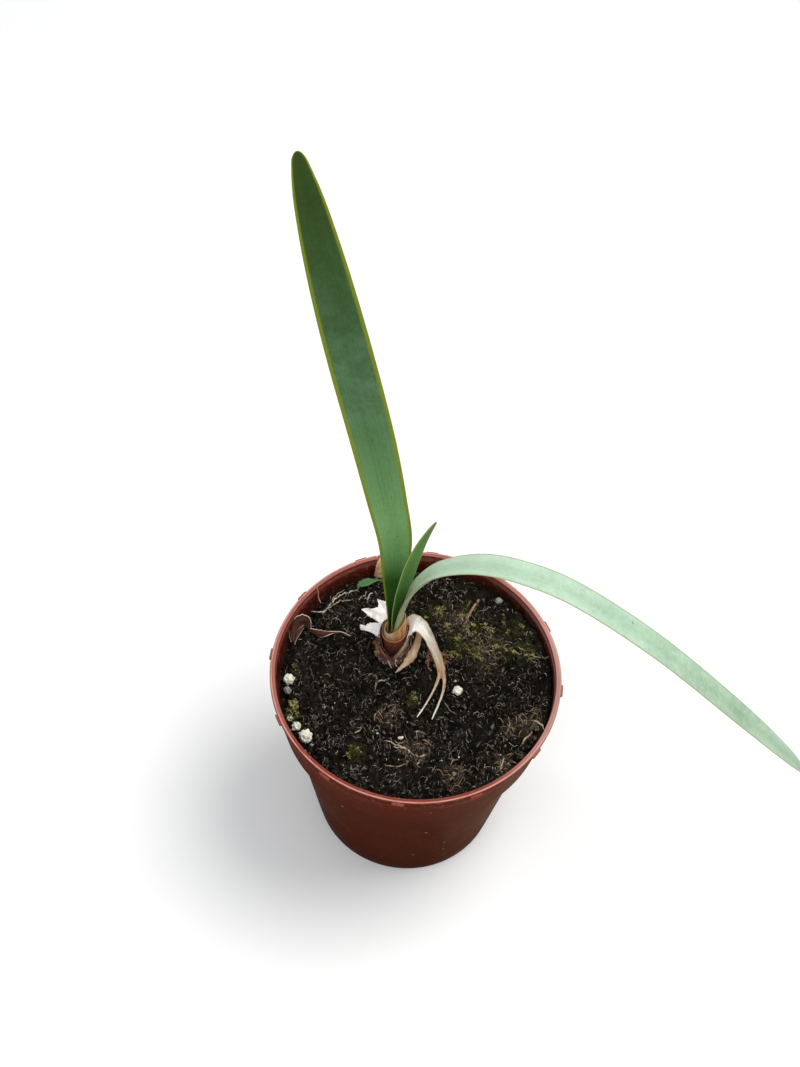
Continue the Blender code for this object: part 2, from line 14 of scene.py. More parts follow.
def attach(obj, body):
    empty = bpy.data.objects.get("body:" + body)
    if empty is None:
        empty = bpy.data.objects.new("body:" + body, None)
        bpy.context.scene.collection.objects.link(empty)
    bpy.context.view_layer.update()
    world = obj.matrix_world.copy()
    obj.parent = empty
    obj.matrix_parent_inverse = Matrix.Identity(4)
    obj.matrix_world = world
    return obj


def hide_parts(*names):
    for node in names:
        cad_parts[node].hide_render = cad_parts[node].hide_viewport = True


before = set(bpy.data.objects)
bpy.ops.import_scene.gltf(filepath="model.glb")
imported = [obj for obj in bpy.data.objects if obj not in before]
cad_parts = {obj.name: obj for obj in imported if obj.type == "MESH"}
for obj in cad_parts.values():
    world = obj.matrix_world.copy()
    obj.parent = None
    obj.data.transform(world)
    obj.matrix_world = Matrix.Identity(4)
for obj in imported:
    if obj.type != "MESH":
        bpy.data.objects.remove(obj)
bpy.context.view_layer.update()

# Pot, as in the part
POT_HEIGHT = 80.0
RIM_RADIUS = 45.0
RIM_LIP = 1.5
COLLAR_HEIGHT = 19.0
COLLAR_RADIUS = 41.9
BODY_RADIUS = 39.15
FOOT_RADIUS = 30.2
WALL = 1.1
POT_SIDES = 168
DRAIN_HOLES = 8
DRAIN_RADIUS = 2.5
DRAIN_CIRCLE = 18.5
LUGS = 12
LUG_PHASE = -4.0
LUG_SIZE = (1.4, 3.9, 1.1)
LUG_REACH = 0.55
NICK_ANGLE = 109.0

# Soil
SOIL_LEVEL = 72.8
SOIL_SLOPE = 0.025
SOIL_LUMP = 0.75
SOIL_EDGE = 43.0
SOIL_RINGS = 165
SOIL_SIDES = 420
MOSS_PATCHES = [(6.5, 27.0, 3.6), (10.8, 19.8, 3.0), (13.0, 14.6, 3.8), (19.5, 12.5, 5.0), (18.5, 20.6, 3.6),
                (26.0, 13.6, 4.0), (33.5, 14.0, 4.0), (0.0, 24.4, 2.6), (14.8, 27.1, 3.0), (30.0, 21.5, 3.4),
                (-17.0, -25.1, 2.8), (-0.9, -6.5, 2.6), (-37.0, -13.6, 2.2), (-37.5, 0.6, 1.8)]
STRAW_PATCHES = [(35.5, -13.0, 5.0), (30.0, -15.0, 2.5), (1.0, -24.0, 4.0), (13.0, -31.5, 3.5), (27.5, -27.0, 3.5),
                 (-8.0, -12.5, 3.5), (12.0, 24.0, 5.0), (22.0, 14.0, 6.0)]

# Bulb and neck
NECK = Vector((-7.4, 13.9))
NECK_RADIUS = 3.6
LIP_RADIUS = 4.1
LIP_HEIGHT = 80.5
SHEATH_RADIUS = 3.55
SHEATH_HEIGHT = 85.0
SOCKET_RADIUS = 2.95
SOCKET_FLOOR = 71.0
NECK_LEAN = 1.8  # how far the neck's foot lies in front of its lip
ROOTS = 6
STACK = Vector((0.866, -0.5, 0.0))
STACK_STEP = 1.55

# Leaves and dry skin
LEAF_MARGIN = 0.34
PAPER = 0.2
GAP = 0.3

# Loose pieces on the soil: x, y, radius
PERLITE = [(-39.2, -1.8, 1.7), (-35.5, -18.1, 1.4), (-32.4, -21.2, 2.0),
           (-37.7, -15.4, 0.95), (13.4, -2.2, 1.5)]
STONES = [(-39.3, -5.6, 1.2), (25.6, 31.6, 1.15)]
BARK = (-37.0, -10.6, 1.8)

# Camera
CAMERA_PLACE = Vector((-7.74, -253.1, 505.51))
CAMERA_PITCH = math.radians(54.4)
CAMERA_ROLL = math.radians(3.81)
CAMERA_LENS = 54.0


# Shapes

class Shape:
    """A piece in the making: its points, its faces, and a mark on each point.

    A mark is (along, across, tone), which the materials read for colour that follows the shape.
    """

    def __init__(self):
        self.points = []
        self.marks = []
        self.faces = []

    def add(self, point, mark=(0.0, 0.0, 0.0)):
        self.points.append(tuple(point))
        self.marks.append(mark)
        return len(self.points) - 1

    def join(self, lower, upper, closed=True):
        """Faces between two rows; a row of one point is a pole."""
        count = max(len(lower), len(upper))
        for k in range(count if closed else count - 1):
            after = (k + 1) % count
            if len(lower) == 1:
                self.faces.append((lower[0], upper[after], upper[k]))
            elif len(upper) == 1:
                self.faces.append((lower[k], lower[after], upper[0]))
            else:
                self.faces.append((lower[k], lower[after], upper[after], upper[k]))

    def lump(self, centre, radii, facets, mark, roughness=0.3, seed=0.0):
        """An uneven closed lump, turned by its seed, from the points and faces of a unit ball."""
        points, faces = facets
        base = len(self.points)
        turn = Euler((seed * 1.3, seed * 0.7, seed * 2.1)).to_matrix()
        for direction in points:
            bump = noise.noise(Vector(direction) * 2.4 + Vector((seed, seed * 0.37, 0.0)))
            scale = 1 + roughness * bump
            offset = turn @ Vector([d * r * scale for d, r in zip(direction, radii)])
            self.add(Vector(centre) + offset, mark)
        self.faces.extend(tuple(base + k for k in face) for face in faces)

    def strand(self, points, radii, sides, marks):
        """A closed thin tube along points; it tapers where the radii do."""
        rings = []
        first = None
        for k, point in enumerate(points):
            ahead = points[min(k + 1, len(points) - 1)]
            behind = points[max(k - 1, 0)]
            tangent = (ahead - behind).normalized()
            if first is None:
                first = tangent.orthogonal()
            first = (first - tangent * first.dot(tangent)).normalized()
            second = tangent.cross(first)
            ring = []
            for j in range(sides):
                angle = 2 * math.pi * j / sides
                offset = (first * math.cos(angle) + second * math.sin(angle)) * radii[k]
                ring.append(self.add(point + offset, marks[k]))
            rings.append(ring)
        for lower, upper in zip(rings, rings[1:]):
            self.join(lower, upper)
        self.faces.append(tuple(rings[0][::-1]))
        self.faces.append(tuple(rings[-1]))


def unit_ball(subdivisions):
    bm = bmesh.new()
    bmesh.ops.create_icosphere(bm, subdivisions=subdivisions, radius=1.0)
    points = [tuple(v.co) for v in bm.verts]
    faces = [tuple(v.index for v in face.verts) for face in bm.faces]
    bm.free()
    return points, faces


def make_piece(name, shape, material, slot, *nodes):
    """Turns a shape into an object that rides on the part and stands for the given nodes."""
    mesh = bpy.data.meshes.new(name)
    mesh.from_pydata([tuple(0.001 * c for c in point) for point in shape.points], [], shape.faces)
    marks = mesh.attributes.new("mark", "FLOAT_VECTOR", "POINT")
    marks.data.foreach_set("vector", [c for mark in shape.marks for c in mark])
    bm = bmesh.new()
    bm.from_mesh(mesh)
    bmesh.ops.recalc_face_normals(bm, faces=bm.faces)
    bm.to_mesh(mesh)
    bm.free()
    mesh.shade_smooth()
    mesh.materials.append(material)
    piece = bpy.data.objects.new(name, mesh)
    bpy.context.scene.collection.objects.link(piece)
    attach(piece, "root")
    if nodes:
        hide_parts(*nodes)
    return piece


def smooth(stations, count):
    """Samples a smooth curve (Catmull-Rom) through stations of any number of values."""
    ends = [[2 * a - b for a, b in zip(stations[0], stations[1])],
            [2 * a - b for a, b in zip(stations[-1], stations[-2])]]
    points = [ends[0], *stations, ends[1]]
    samples = []
    for k in range(count):
        place = k * (len(stations) - 1) / (count - 1)
        index = min(int(place), len(stations) - 2)
        t = place - index
        p0, p1, p2, p3 = points[index:index + 4]
        samples.append([b + 0.5 * t * (c - a + t * (2 * a - 5 * b + 4 * c - d + t * (3 * (b - c) + d - a)))
                        for a, b, c, d in zip(p0, p1, p2, p3)])
    return samples


def ease(t):
    t = min(max(t, 0.0), 1.0)
    return t * t * (3 - 2 * t)


def soil_height(x, y):
    """Height of the soil's lumpy surface, with a dip at the front left of the neck."""
    lump = noise.noise(Vector((x, y, 0.0)) * 0.13) + 0.6 * noise.noise(Vector((x, y, 9.0)) * 0.31)
    away = (Vector((x, y)) - NECK - Vector((-1.0, -3.0))).length
    dip = 2.2 * math.exp(-(away / 5.5) ** 2)
    return SOIL_LEVEL + SOIL_SLOPE * x + SOIL_LUMP * lump - dip


def crumb_height(x, y):
    """The crumbs' relief, on top of the soil's own surface, with pits and a bank at the right."""
    place = Vector((x, y, 3.0))
    clods = abs(noise.noise(place * 0.36)) * 1.9
    crumbs = abs(noise.noise(place * 0.9)) * 1.2
    fine = noise.noise(place * 2.1) * 0.5
    pits = min(noise.noise(place * 0.62 + Vector((7.0, 0.0, 0.0))) + 0.3, 0.0) * 3.2
    bank = 1.6 * ease((math.hypot(x, y) - 36.0) / 6.0) * max(x / SOIL_EDGE, 0.0) ** 2
    return clods + crumbs + fine + pits + bank - 0.75


def ground(x, y):
    return soil_height(x, y) + crumb_height(x, y)


# Shader nodes

def put(tree, kind, inputs, **settings):
    """Adds a shader node, sets or links its inputs by name or number, and returns it."""
    made = tree.nodes.new("ShaderNode" + kind)
    for name, value in settings.items():
        setattr(made, name, value)
    for key, value in inputs.items():
        if isinstance(value, bpy.types.NodeSocket):
            tree.links.new(value, made.inputs[key])
        else:
            made.inputs[key].default_value = value
    return made


def maths(tree, operation, a, b=0.0, clamp=False):
    return put(tree, "Math", {0: a, 1: b}, operation=operation, use_clamp=clamp).outputs[0]


def mix(tree, factor, a, b, blend="MIX"):
    """Mixes two colours, given as sockets or as (r, g, b)."""
    colours = {}
    for key, value in ((6, a), (7, b)):
        colours[key] = value if isinstance(value, bpy.types.NodeSocket) else (*value, 1.0)
    node = put(tree, "Mix", {0: factor, **colours}, data_type="RGBA", blend_type=blend)
    return node.outputs[2]


def spread(tree, value, low, high, to_low=0.0, to_high=1.0):
    """Maps a value smoothly from low..high to another range."""
    node = put(tree, "MapRange", {0: value, 1: low, 2: high, 3: to_low, 4: to_high},
               interpolation_type="SMOOTHSTEP")
    return node.outputs[0]


def ramp(tree, value, stops):
    """Colours along a value; stops are (place, (r, g, b))."""
    node = put(tree, "ValToRGB", {0: value})
    elements = node.color_ramp.elements
    while len(elements) < len(stops):
        elements.new(0.5)
    for element, (place, colour) in zip(elements, stops):
        element.position = place
        element.color = (*colour, 1.0)
    return node.outputs[0]


def cloud(tree, vector, scale, detail=3.0, rough=0.55):
    return put(tree, "TexNoise", {"Vector": vector, "Scale": scale, "Detail": detail, "Roughness": rough})


def new_group(name, inputs, outputs):
    """A node group with named inputs (name, kind, value) and outputs (name, kind)."""
    tree = bpy.data.node_groups.new(name, "ShaderNodeTree")
    for label, kind, value in inputs:
        socket = tree.interface.new_socket(label, in_out="INPUT", socket_type="NodeSocket" + kind)
        if value is not None:
            socket.default_value = value
    for label, kind in outputs:
        tree.interface.new_socket(label, in_out="OUTPUT", socket_type="NodeSocket" + kind)
    return tree, tree.nodes.new("NodeGroupInput").outputs, tree.nodes.new("NodeGroupOutput").inputs


def use(tree, group, **values):
    """Places a node group; an input's spaces are underscores here."""
    node = tree.nodes.new("ShaderNodeGroup")
    node.node_tree = group
    for key, value in values.items():
        socket = node.inputs[key.replace("_", " ")]
        if isinstance(value, bpy.types.NodeSocket):
            tree.links.new(value, socket)
        else:
            socket.default_value = value
    return node.outputs


def make_mottle():
    """Soft blotches in two sizes, as a mask from 0 to 1."""
    tree, given, result = new_group(
        "mottle", [("Vector", "Vector", None), ("Scale", "Float", 200.0), ("Balance", "Float", 0.5),
                   ("Softness", "Float", 0.15)], [("Mask", "Float")])
    large = cloud(tree, given["Vector"], given["Scale"], 4.0, 0.6).outputs[0]
    small = cloud(tree, given["Vector"], maths(tree, "MULTIPLY", given["Scale"], 4.7), 2.0).outputs[0]
    value = maths(tree, "ADD", maths(tree, "MULTIPLY", large, 0.75), maths(tree, "MULTIPLY", small, 0.25))
    low = maths(tree, "SUBTRACT", given["Balance"], given["Softness"])
    high = maths(tree, "ADD", given["Balance"], given["Softness"])
    tree.links.new(spread(tree, value, low, high), result["Mask"])
    return tree


def make_streaks():
    """Long fine lines that run along a leaf or a dry skin, as a mask from 0 to 1."""
    tree, given, result = new_group(
        "streaks", [("Along", "Float", 0.0), ("Across", "Float", 0.0), ("Length", "Float", 4.0),
                    ("Count", "Float", 20.0)], [("Mask", "Float")])
    place = put(tree, "CombineXYZ", {0: maths(tree, "MULTIPLY", given["Along"], given["Length"]),
                                     1: maths(tree, "MULTIPLY", given["Across"], given["Count"])})
    lines = cloud(tree, place.outputs[0], 1.0, 3.0, 0.6).outputs[0]
    tree.links.new(spread(tree, lines, 0.3, 0.7), result["Mask"])
    return tree


def make_specks():
    """Small round spots, sparse or dense, as a mask from 0 to 1."""
    tree, given, result = new_group(
        "specks", [("Vector", "Vector", None), ("Scale", "Float", 300.0), ("Size", "Float", 0.3),
                   ("Share", "Float", 0.2)], [("Mask", "Float")])
    cells = put(tree, "TexVoronoi", {"Vector": given["Vector"], "Scale": given["Scale"]})
    spot = maths(tree, "LESS_THAN", cells.outputs["Distance"], given["Size"])
    pick = put(tree, "SeparateXYZ", {0: cells.outputs["Color"]}).outputs[0]
    chosen = maths(tree, "LESS_THAN", pick, given["Share"])
    tree.links.new(maths(tree, "MULTIPLY", spot, chosen), result["Mask"])
    return tree


def make_grain():
    """Fine relief in two sizes, from 0 to 1."""
    tree, given, result = new_group(
        "grain", [("Vector", "Vector", None), ("Scale", "Float", 900.0), ("Fine Part", "Float", 0.4)],
        [("Height", "Float")])
    coarse = cloud(tree, given["Vector"], given["Scale"], 3.0).outputs[0]
    fine = cloud(tree, given["Vector"], maths(tree, "MULTIPLY", given["Scale"], 5.0), 2.0).outputs[0]
    height = put(tree, "Mix", {0: given["Fine Part"], 2: coarse, 3: fine}, data_type="FLOAT")
    tree.links.new(height.outputs[0], result["Height"])
    return tree


MOTTLE = make_mottle()
STREAKS = make_streaks()
SPECKS = make_specks()
GRAIN = make_grain()


def start_material(name):
    """A new material: its tree, its shader, the object's coordinates and the three marks."""
    material = bpy.data.materials.new(name)
    material.use_nodes = True
    tree = material.node_tree
    shader = tree.nodes["Principled BSDF"]
    place = put(tree, "TexCoord", {}).outputs["Object"]
    mark = put(tree, "Attribute", {}, attribute_name="mark").outputs["Vector"]
    marks = put(tree, "SeparateXYZ", {0: mark}).outputs
    return material, tree, shader, place, marks


def finish_material(tree, shader, colour, roughness, height=None, strength=0.3, distance=0.0002):
    """Connects colour, roughness and relief to the shader."""
    tree.links.new(colour, shader.inputs["Base Color"])
    if isinstance(roughness, bpy.types.NodeSocket):
        tree.links.new(roughness, shader.inputs["Roughness"])
    else:
        shader.inputs["Roughness"].default_value = roughness
    if height is not None:
        bump = put(tree, "Bump", {"Height": height, "Strength": strength, "Distance": distance})
        tree.links.new(bump.outputs[0], shader.inputs["Normal"])


def leaf_material(name, stops, margin, margin_from, bloom, bloom_share, streak_depth, roughness):
    """A strap leaf: colour along it, waxy bloom in blotches, parallel veins, coloured margins."""
    material, tree, shader, place, marks = start_material(name)
    along, across = marks[0], marks[1]
    colour = ramp(tree, along, stops)
    blotches = use(tree, MOTTLE, Vector=place, Scale=105.0, Balance=0.5, Softness=0.14)["Mask"]
    patches = maths(tree, "MULTIPLY", blotches, ramp(tree, along, bloom_share))
    colour = mix(tree, patches, colour, bloom)
    veins = use(tree, STREAKS, Along=along, Across=across, Length=5.0, Count=17.0)["Mask"]
    colour = mix(tree, maths(tree, "MULTIPLY", veins, streak_depth), colour, (0.75, 0.85, 0.6), "SOFT_LIGHT")
    speckle = use(tree, MOTTLE, Vector=place, Scale=520.0, Balance=0.52, Softness=0.1)["Mask"]
    speckle = maths(tree, "MULTIPLY", speckle, spread(tree, ramp(tree, along, bloom_share), 0.0, 1.0, 0.02, 0.45))
    colour = mix(tree, speckle, colour, bloom)
    edge = maths(tree, "ABSOLUTE", across)
    middle = spread(tree, edge, 0.75, 0.0, 0.0, 0.22)
    colour = mix(tree, middle, colour, (0.35, 0.5, 0.3), "MULTIPLY")
    colour = mix(tree, spread(tree, edge, margin_from, margin_from + 0.12, 0.0, 0.9), colour, margin)
    dots = use(tree, SPECKS, Vector=place, Scale=230.0, Size=0.09, Share=0.07)["Mask"]
    colour = mix(tree, maths(tree, "MULTIPLY", dots, 0.45), colour, (0.02, 0.025, 0.012))
    dapple = cloud(tree, place, 900.0, 2.0).outputs[0]
    colour = mix(tree, spread(tree, dapple, 0.3, 0.7, 0.0, 0.3), colour, (0.72, 0.76, 0.70), "SOFT_LIGHT")
    shine = spread(tree, patches, 0.0, 1.0, roughness, roughness + 0.16)
    shader.inputs["Specular IOR Level"].default_value = 0.1
    finish_material(tree, shader, colour, shine, veins, 0.35, 0.00015)
    return material


def pot_material():
    """Moulded brown plastic: dark inside and below, with scuffs and pale flecks. Painted light: the body paler on its
    right, the rim's top and the lugs redder and paler, painted highlights along the rim's crest, back, sides and right,
    and painted shade on the inner wall low down and on its right.
    """
    material, tree, shader, place, _ = start_material("pot_plastic")
    split = put(tree, "SeparateXYZ", {0: place}).outputs
    level = put(tree, "CombineXYZ", {0: split[0], 1: split[1]}).outputs[0]
    radius = put(tree, "VectorMath", {0: level}, operation="LENGTH").outputs["Value"]
    outward = put(tree, "VectorMath", {0: level}, operation="NORMALIZE").outputs[0]
    normal = put(tree, "NewGeometry", {}).outputs["Normal"]
    facing = put(tree, "VectorMath", {0: outward, 1: normal}, operation="DOT_PRODUCT").outputs["Value"]
    inside = spread(tree, facing, 0.1, -0.5)
    outer = ramp(tree, maths(tree, "MULTIPLY", split[2], 12.5), [
        (0.0, (0.032, 0.0045, 0.0006)), (0.35, (0.044, 0.0062, 0.0010)), (0.76, (0.054, 0.0082, 0.0016)),
        (0.95, (0.082, 0.013, 0.006))])
    blotches = use(tree, MOTTLE, Vector=place, Scale=45.0, Balance=0.5, Softness=0.2)["Mask"]
    colour = mix(tree, maths(tree, "MULTIPLY", blotches, 0.3), outer, (0.074, 0.016, 0.0035))
    # Painted light: the body is painted paler towards its right, the side the light comes from.
    colour = mix(tree, spread(tree, split[0], 0.006, 0.036, 0.0, 0.6), colour, (0.12, 0.043, 0.015))
    inner = mix(tree, blotches, (0.075, 0.0085, 0.0045), (0.11, 0.014, 0.008))
    # Painted shade with smears: the inner wall is painted darker, in patches, down towards the soil.
    stain_and_shade = spread(tree, split[2], 0.0785, 0.0735)
    smears = use(tree, MOTTLE, Vector=place, Scale=240.0, Balance=0.46, Softness=0.12)["Mask"]
    inner = mix(tree, maths(tree, "MULTIPLY", maths(tree, "MULTIPLY", stain_and_shade, smears), 0.9), inner,
                (0.012, 0.007, 0.005))
    # Painted shade: the inner wall on the right, turned away from the light, is painted darker below the rim.
    right_wall_shade = maths(tree, "MULTIPLY", spread(tree, split[2], 0.0792, 0.0765), spread(tree, split[0], 0.005, 0.035))
    inner = mix(tree, maths(tree, "MULTIPLY", right_wall_shade, 0.75), inner, (0.022, 0.008, 0.005))
    colour = mix(tree, inside, colour, inner)
    # Painted light: the rim's upward faces are painted redder and paler than the body, as lit from above.
    upward = put(tree, "SeparateXYZ", {0: normal}).outputs[2]
    top = maths(tree, "MULTIPLY", spread(tree, split[2], 0.0768, 0.0788), spread(tree, upward, -0.1, 0.7))
    colour = mix(tree, maths(tree, "MULTIPLY", top, 0.9), colour, (0.20, 0.043, 0.031))
    # Painted highlights: the rim's top is painted paler at its back and at both sides.
    sides = spread(tree, maths(tree, "ABSOLUTE", split[0]), 0.034, 0.044, 0.0, 0.8)
    rim_highlight = maths(tree, "MAXIMUM", spread(tree, split[1], -0.035, 0.03, 0.0, 0.7), sides)
    colour = mix(tree, maths(tree, "MULTIPLY", rim_highlight, top), colour, (0.33, 0.135, 0.11))
    # Painted highlight: the rim's top is painted palest on its right.
    colour = mix(tree, maths(tree, "MULTIPLY", spread(tree, split[0], 0.02, 0.042, 0.0, 0.7), top), colour,
                 (0.46, 0.25, 0.215))
    # Painted highlight: a pale line along the rim's crest, broken into patches.
    crest = spread(tree, maths(tree, "ABSOLUTE", maths(tree, "SUBTRACT", radius, 0.04458)), 0.00032, 0.0001)
    glint_patches = use(tree, MOTTLE, Vector=place, Scale=150.0, Balance=0.45, Softness=0.2)["Mask"]
    crest = maths(tree, "MULTIPLY", maths(tree, "MULTIPLY", crest, top), spread(tree, glint_patches, 0.0, 1.0, 0.35, 0.9))
    colour = mix(tree, crest, colour, (0.52, 0.28, 0.23))
    # Painted light: the lugs are painted redder and paler like the rim's top, broken up by mottling.
    lug = maths(tree, "MULTIPLY", spread(tree, radius, 0.04502, 0.0452), spread(tree, smears, 0.0, 1.0, 0.35, 0.9))
    colour = mix(tree, lug, colour, (0.24, 0.052, 0.036))
    scuffs = use(tree, MOTTLE, Vector=place, Scale=620.0, Balance=0.57, Softness=0.05)["Mask"]
    scuffs = maths(tree, "MULTIPLY", scuffs, spread(tree, split[2], 0.070, 0.0795, 0.06, 0.55))
    colour = mix(tree, maths(tree, "MULTIPLY", scuffs, 0.5), colour, (0.36, 0.15, 0.11))
    flecks = use(tree, SPECKS, Vector=place, Scale=300.0, Size=0.14, Share=0.06)["Mask"]
    colour = mix(tree, maths(tree, "MULTIPLY", flecks, 0.4), colour, (0.40, 0.30, 0.22))
    grain = use(tree, GRAIN, Vector=place, Scale=700.0, Fine_Part=0.5)["Height"]
    shader.inputs["Specular IOR Level"].default_value = 0.004
    shine = spread(tree, blotches, 0.0, 1.0, 0.4, 0.55)
    finish_material(tree, shader, colour, shine, grain, 0.12, 0.00012)
    return material


def soil_material():
    """Damp peat: near black with brown crumbs, and olive where moss grows."""
    material, tree, shader, place, marks = start_material("potting_mix")
    crumbs = cloud(tree, place, 480.0, 6.0, 0.72).outputs[0]
    colour = ramp(tree, crumbs, [(0.42, (0.0018, 0.0017, 0.0013)), (0.55, (0.0058, 0.0052, 0.0038)),
                                 (0.65, (0.022, 0.0185, 0.013)), (0.78, (0.09, 0.075, 0.054))])
    field = use(tree, MOTTLE, Vector=place, Scale=120.0, Balance=0.55, Softness=0.12)["Mask"]
    colour = mix(tree, maths(tree, "MULTIPLY", field, 0.4), colour, (0.026, 0.0185, 0.0115))
    chips = use(tree, SPECKS, Vector=place, Scale=1000.0, Size=0.26, Share=0.05)["Mask"]
    colour = mix(tree, maths(tree, "MULTIPLY", chips, 0.5), colour, (0.20, 0.16, 0.12))
    patch = use(tree, MOTTLE, Vector=place, Scale=420.0, Balance=0.48, Softness=0.1)["Mask"]
    colour = mix(tree, maths(tree, "MULTIPLY", maths(tree, "MULTIPLY", patch, marks[0]), 0.75), colour,
                 (0.05, 0.05, 0.014))
    colour = mix(tree, maths(tree, "MULTIPLY", maths(tree, "MULTIPLY", patch, marks[1]), 0.6), colour,
                 (0.075, 0.048, 0.031))
    grain = use(tree, GRAIN, Vector=place, Scale=1100.0, Fine_Part=0.45)["Height"]
    shader.inputs["Specular IOR Level"].default_value = 0.06
    finish_material(tree, shader, colour, spread(tree, crumbs, 0.3, 0.7, 0.5, 0.95), grain, 0.9, 0.0004)
    return material


def toned_material(name, tones, roughness, spot=None, edge=None):
    """Small dry things, each coloured by its own tone mark, some with paler spots or edges."""
    material, tree, shader, place, marks = start_material(name)
    colour = ramp(tree, marks[2], tones)
    blotches = use(tree, MOTTLE, Vector=place, Scale=700.0, Balance=0.5, Softness=0.2)["Mask"]
    colour = mix(tree, maths(tree, "MULTIPLY", blotches, 0.5), colour, (0.05, 0.035, 0.025), "MULTIPLY")
    if spot:
        spots = use(tree, SPECKS, Vector=place, Scale=1400.0, Size=0.3, Share=0.25)["Mask"]
        colour = mix(tree, maths(tree, "MULTIPLY", spots, 0.5), colour, spot)
    if edge:
        lines = use(tree, STREAKS, Along=marks[0], Across=marks[1], Length=6.0, Count=5.0)["Mask"]
        rim = spread(tree, maths(tree, "ABSOLUTE", marks[1]), 0.78, 0.98)
        colour = mix(tree, maths(tree, "MAXIMUM", rim, maths(tree, "MULTIPLY", lines, 0.02)), colour, edge)
    grain = use(tree, GRAIN, Vector=place, Scale=1500.0, Fine_Part=0.4)["Height"]
    shader.inputs["Specular IOR Level"].default_value = 0.06
    finish_material(tree, shader, colour, roughness, grain, 0.5, 0.0002)
    return material


def paper_material():
    """Dry bulb skin: white, then tan, red-brown and purple-brown with its tone, and finely lined."""
    material, tree, shader, place, marks = start_material("dry_skin")
    along, across, tone = marks[0], marks[1], marks[2]
    colour = ramp(tree, tone, [(0.0, (0.98, 0.98, 0.96)), (0.2, (0.92, 0.89, 0.80)), (0.45, (0.56, 0.41, 0.26)),
                               (0.65, (0.27, 0.13, 0.08)), (0.82, (0.075, 0.026, 0.018)), (1.0, (0.15, 0.10, 0.092))])
    lines = use(tree, STREAKS, Along=along, Across=across, Length=3.0, Count=11.0)["Mask"]
    depth = spread(tree, tone, 0.0, 0.6, 0.14, 0.9)
    colour = mix(tree, depth, colour, mix(tree, lines, (0.66, 0.53, 0.43), (1.0, 1.0, 1.0)), "MULTIPLY")
    edge = spread(tree, maths(tree, "ABSOLUTE", across), 0.8, 1.0, 0.0, 0.7)
    edge = maths(tree, "MULTIPLY", edge, spread(tree, tone, 0.02, 0.15))
    colour = mix(tree, edge, colour, (0.42, 0.26, 0.15))
    stains = use(tree, MOTTLE, Vector=place, Scale=360.0, Balance=0.6, Softness=0.06)["Mask"]
    colour = mix(tree, maths(tree, "MULTIPLY", stains, 0.4), colour, (0.34, 0.20, 0.12))
    shader.inputs["Specular IOR Level"].default_value = 0.1
    finish_material(tree, shader, colour, 0.72, lines, 0.6, 0.0003)
    return material


def neck_material():
    """Outer cup dark reddish brown, inner sheath tan orange, both with pale lips."""
    material, tree, shader, place, marks = start_material("bulb_skin")
    lip, sheath, turn = marks[0], marks[1], marks[2]
    stretched = put(tree, "Mapping", {0: place, "Scale": (1.0, 1.0, 0.13)}).outputs[0]
    fibres = cloud(tree, stretched, 1500.0, 4.0, 0.6).outputs[0]
    high = put(tree, "SeparateXYZ", {0: place}).outputs[2]
    rise = spread(tree, high, 0.0735, 0.0805)
    cup = mix(tree, rise, (0.026, 0.006, 0.004), (0.20, 0.062, 0.025))
    cup = mix(tree, spread(tree, fibres, 0.35, 0.65, 0.0, 0.6), cup, (0.30, 0.11, 0.05), "SOFT_LIGHT")
    inner = mix(tree, spread(tree, fibres, 0.35, 0.65), (0.42, 0.18, 0.055), (0.66, 0.38, 0.15))
    inner = mix(tree, maths(tree, "MULTIPLY", turn, 0.9), inner, (0.82, 0.76, 0.55))
    lit = spread(tree, high, 0.0785, 0.0830)
    inner = mix(tree, lit, (0.20, 0.055, 0.015), inner)
    colour = mix(tree, sheath, cup, inner)
    colour = mix(tree, maths(tree, "POWER", lip, 3.0), colour, (0.50, 0.29, 0.14))
    shader.inputs["Specular IOR Level"].default_value = 0.3
    finish_material(tree, shader, colour, 0.45, fibres, 0.5, 0.0002)
    return material


def grain_material(name, colour_a, colour_b, pit, green_share):
    """Perlite or stone: chalky, pitted, with some algae."""
    material, tree, shader, place, _ = start_material(name)
    blotches = use(tree, MOTTLE, Vector=place, Scale=500.0, Balance=0.5, Softness=0.2)["Mask"]
    colour = mix(tree, blotches, colour_a, colour_b)
    pits = use(tree, SPECKS, Vector=place, Scale=2100.0, Size=0.33, Share=0.35)["Mask"]
    colour = mix(tree, maths(tree, "MULTIPLY", pits, 0.6), colour, pit)
    algae = use(tree, MOTTLE, Vector=place, Scale=260.0, Balance=0.56, Softness=0.07)["Mask"]
    colour = mix(tree, maths(tree, "MULTIPLY", algae, green_share), colour, (0.22, 0.24, 0.07))
    grain = use(tree, GRAIN, Vector=place, Scale=1300.0, Fine_Part=0.5)["Height"]
    finish_material(tree, shader, colour, 0.9, grain, 0.8, 0.0003)
    return material


def floor_material():
    material, tree, shader, place, _ = start_material("floor")
    tint = use(tree, MOTTLE, Vector=place, Scale=6.0, Balance=0.5, Softness=0.4)["Mask"]
    colour = mix(tree, tint, (0.80, 0.80, 0.79), (0.84, 0.84, 0.83))
    finish_material(tree, shader, colour, 0.8)
    return material


# Pot

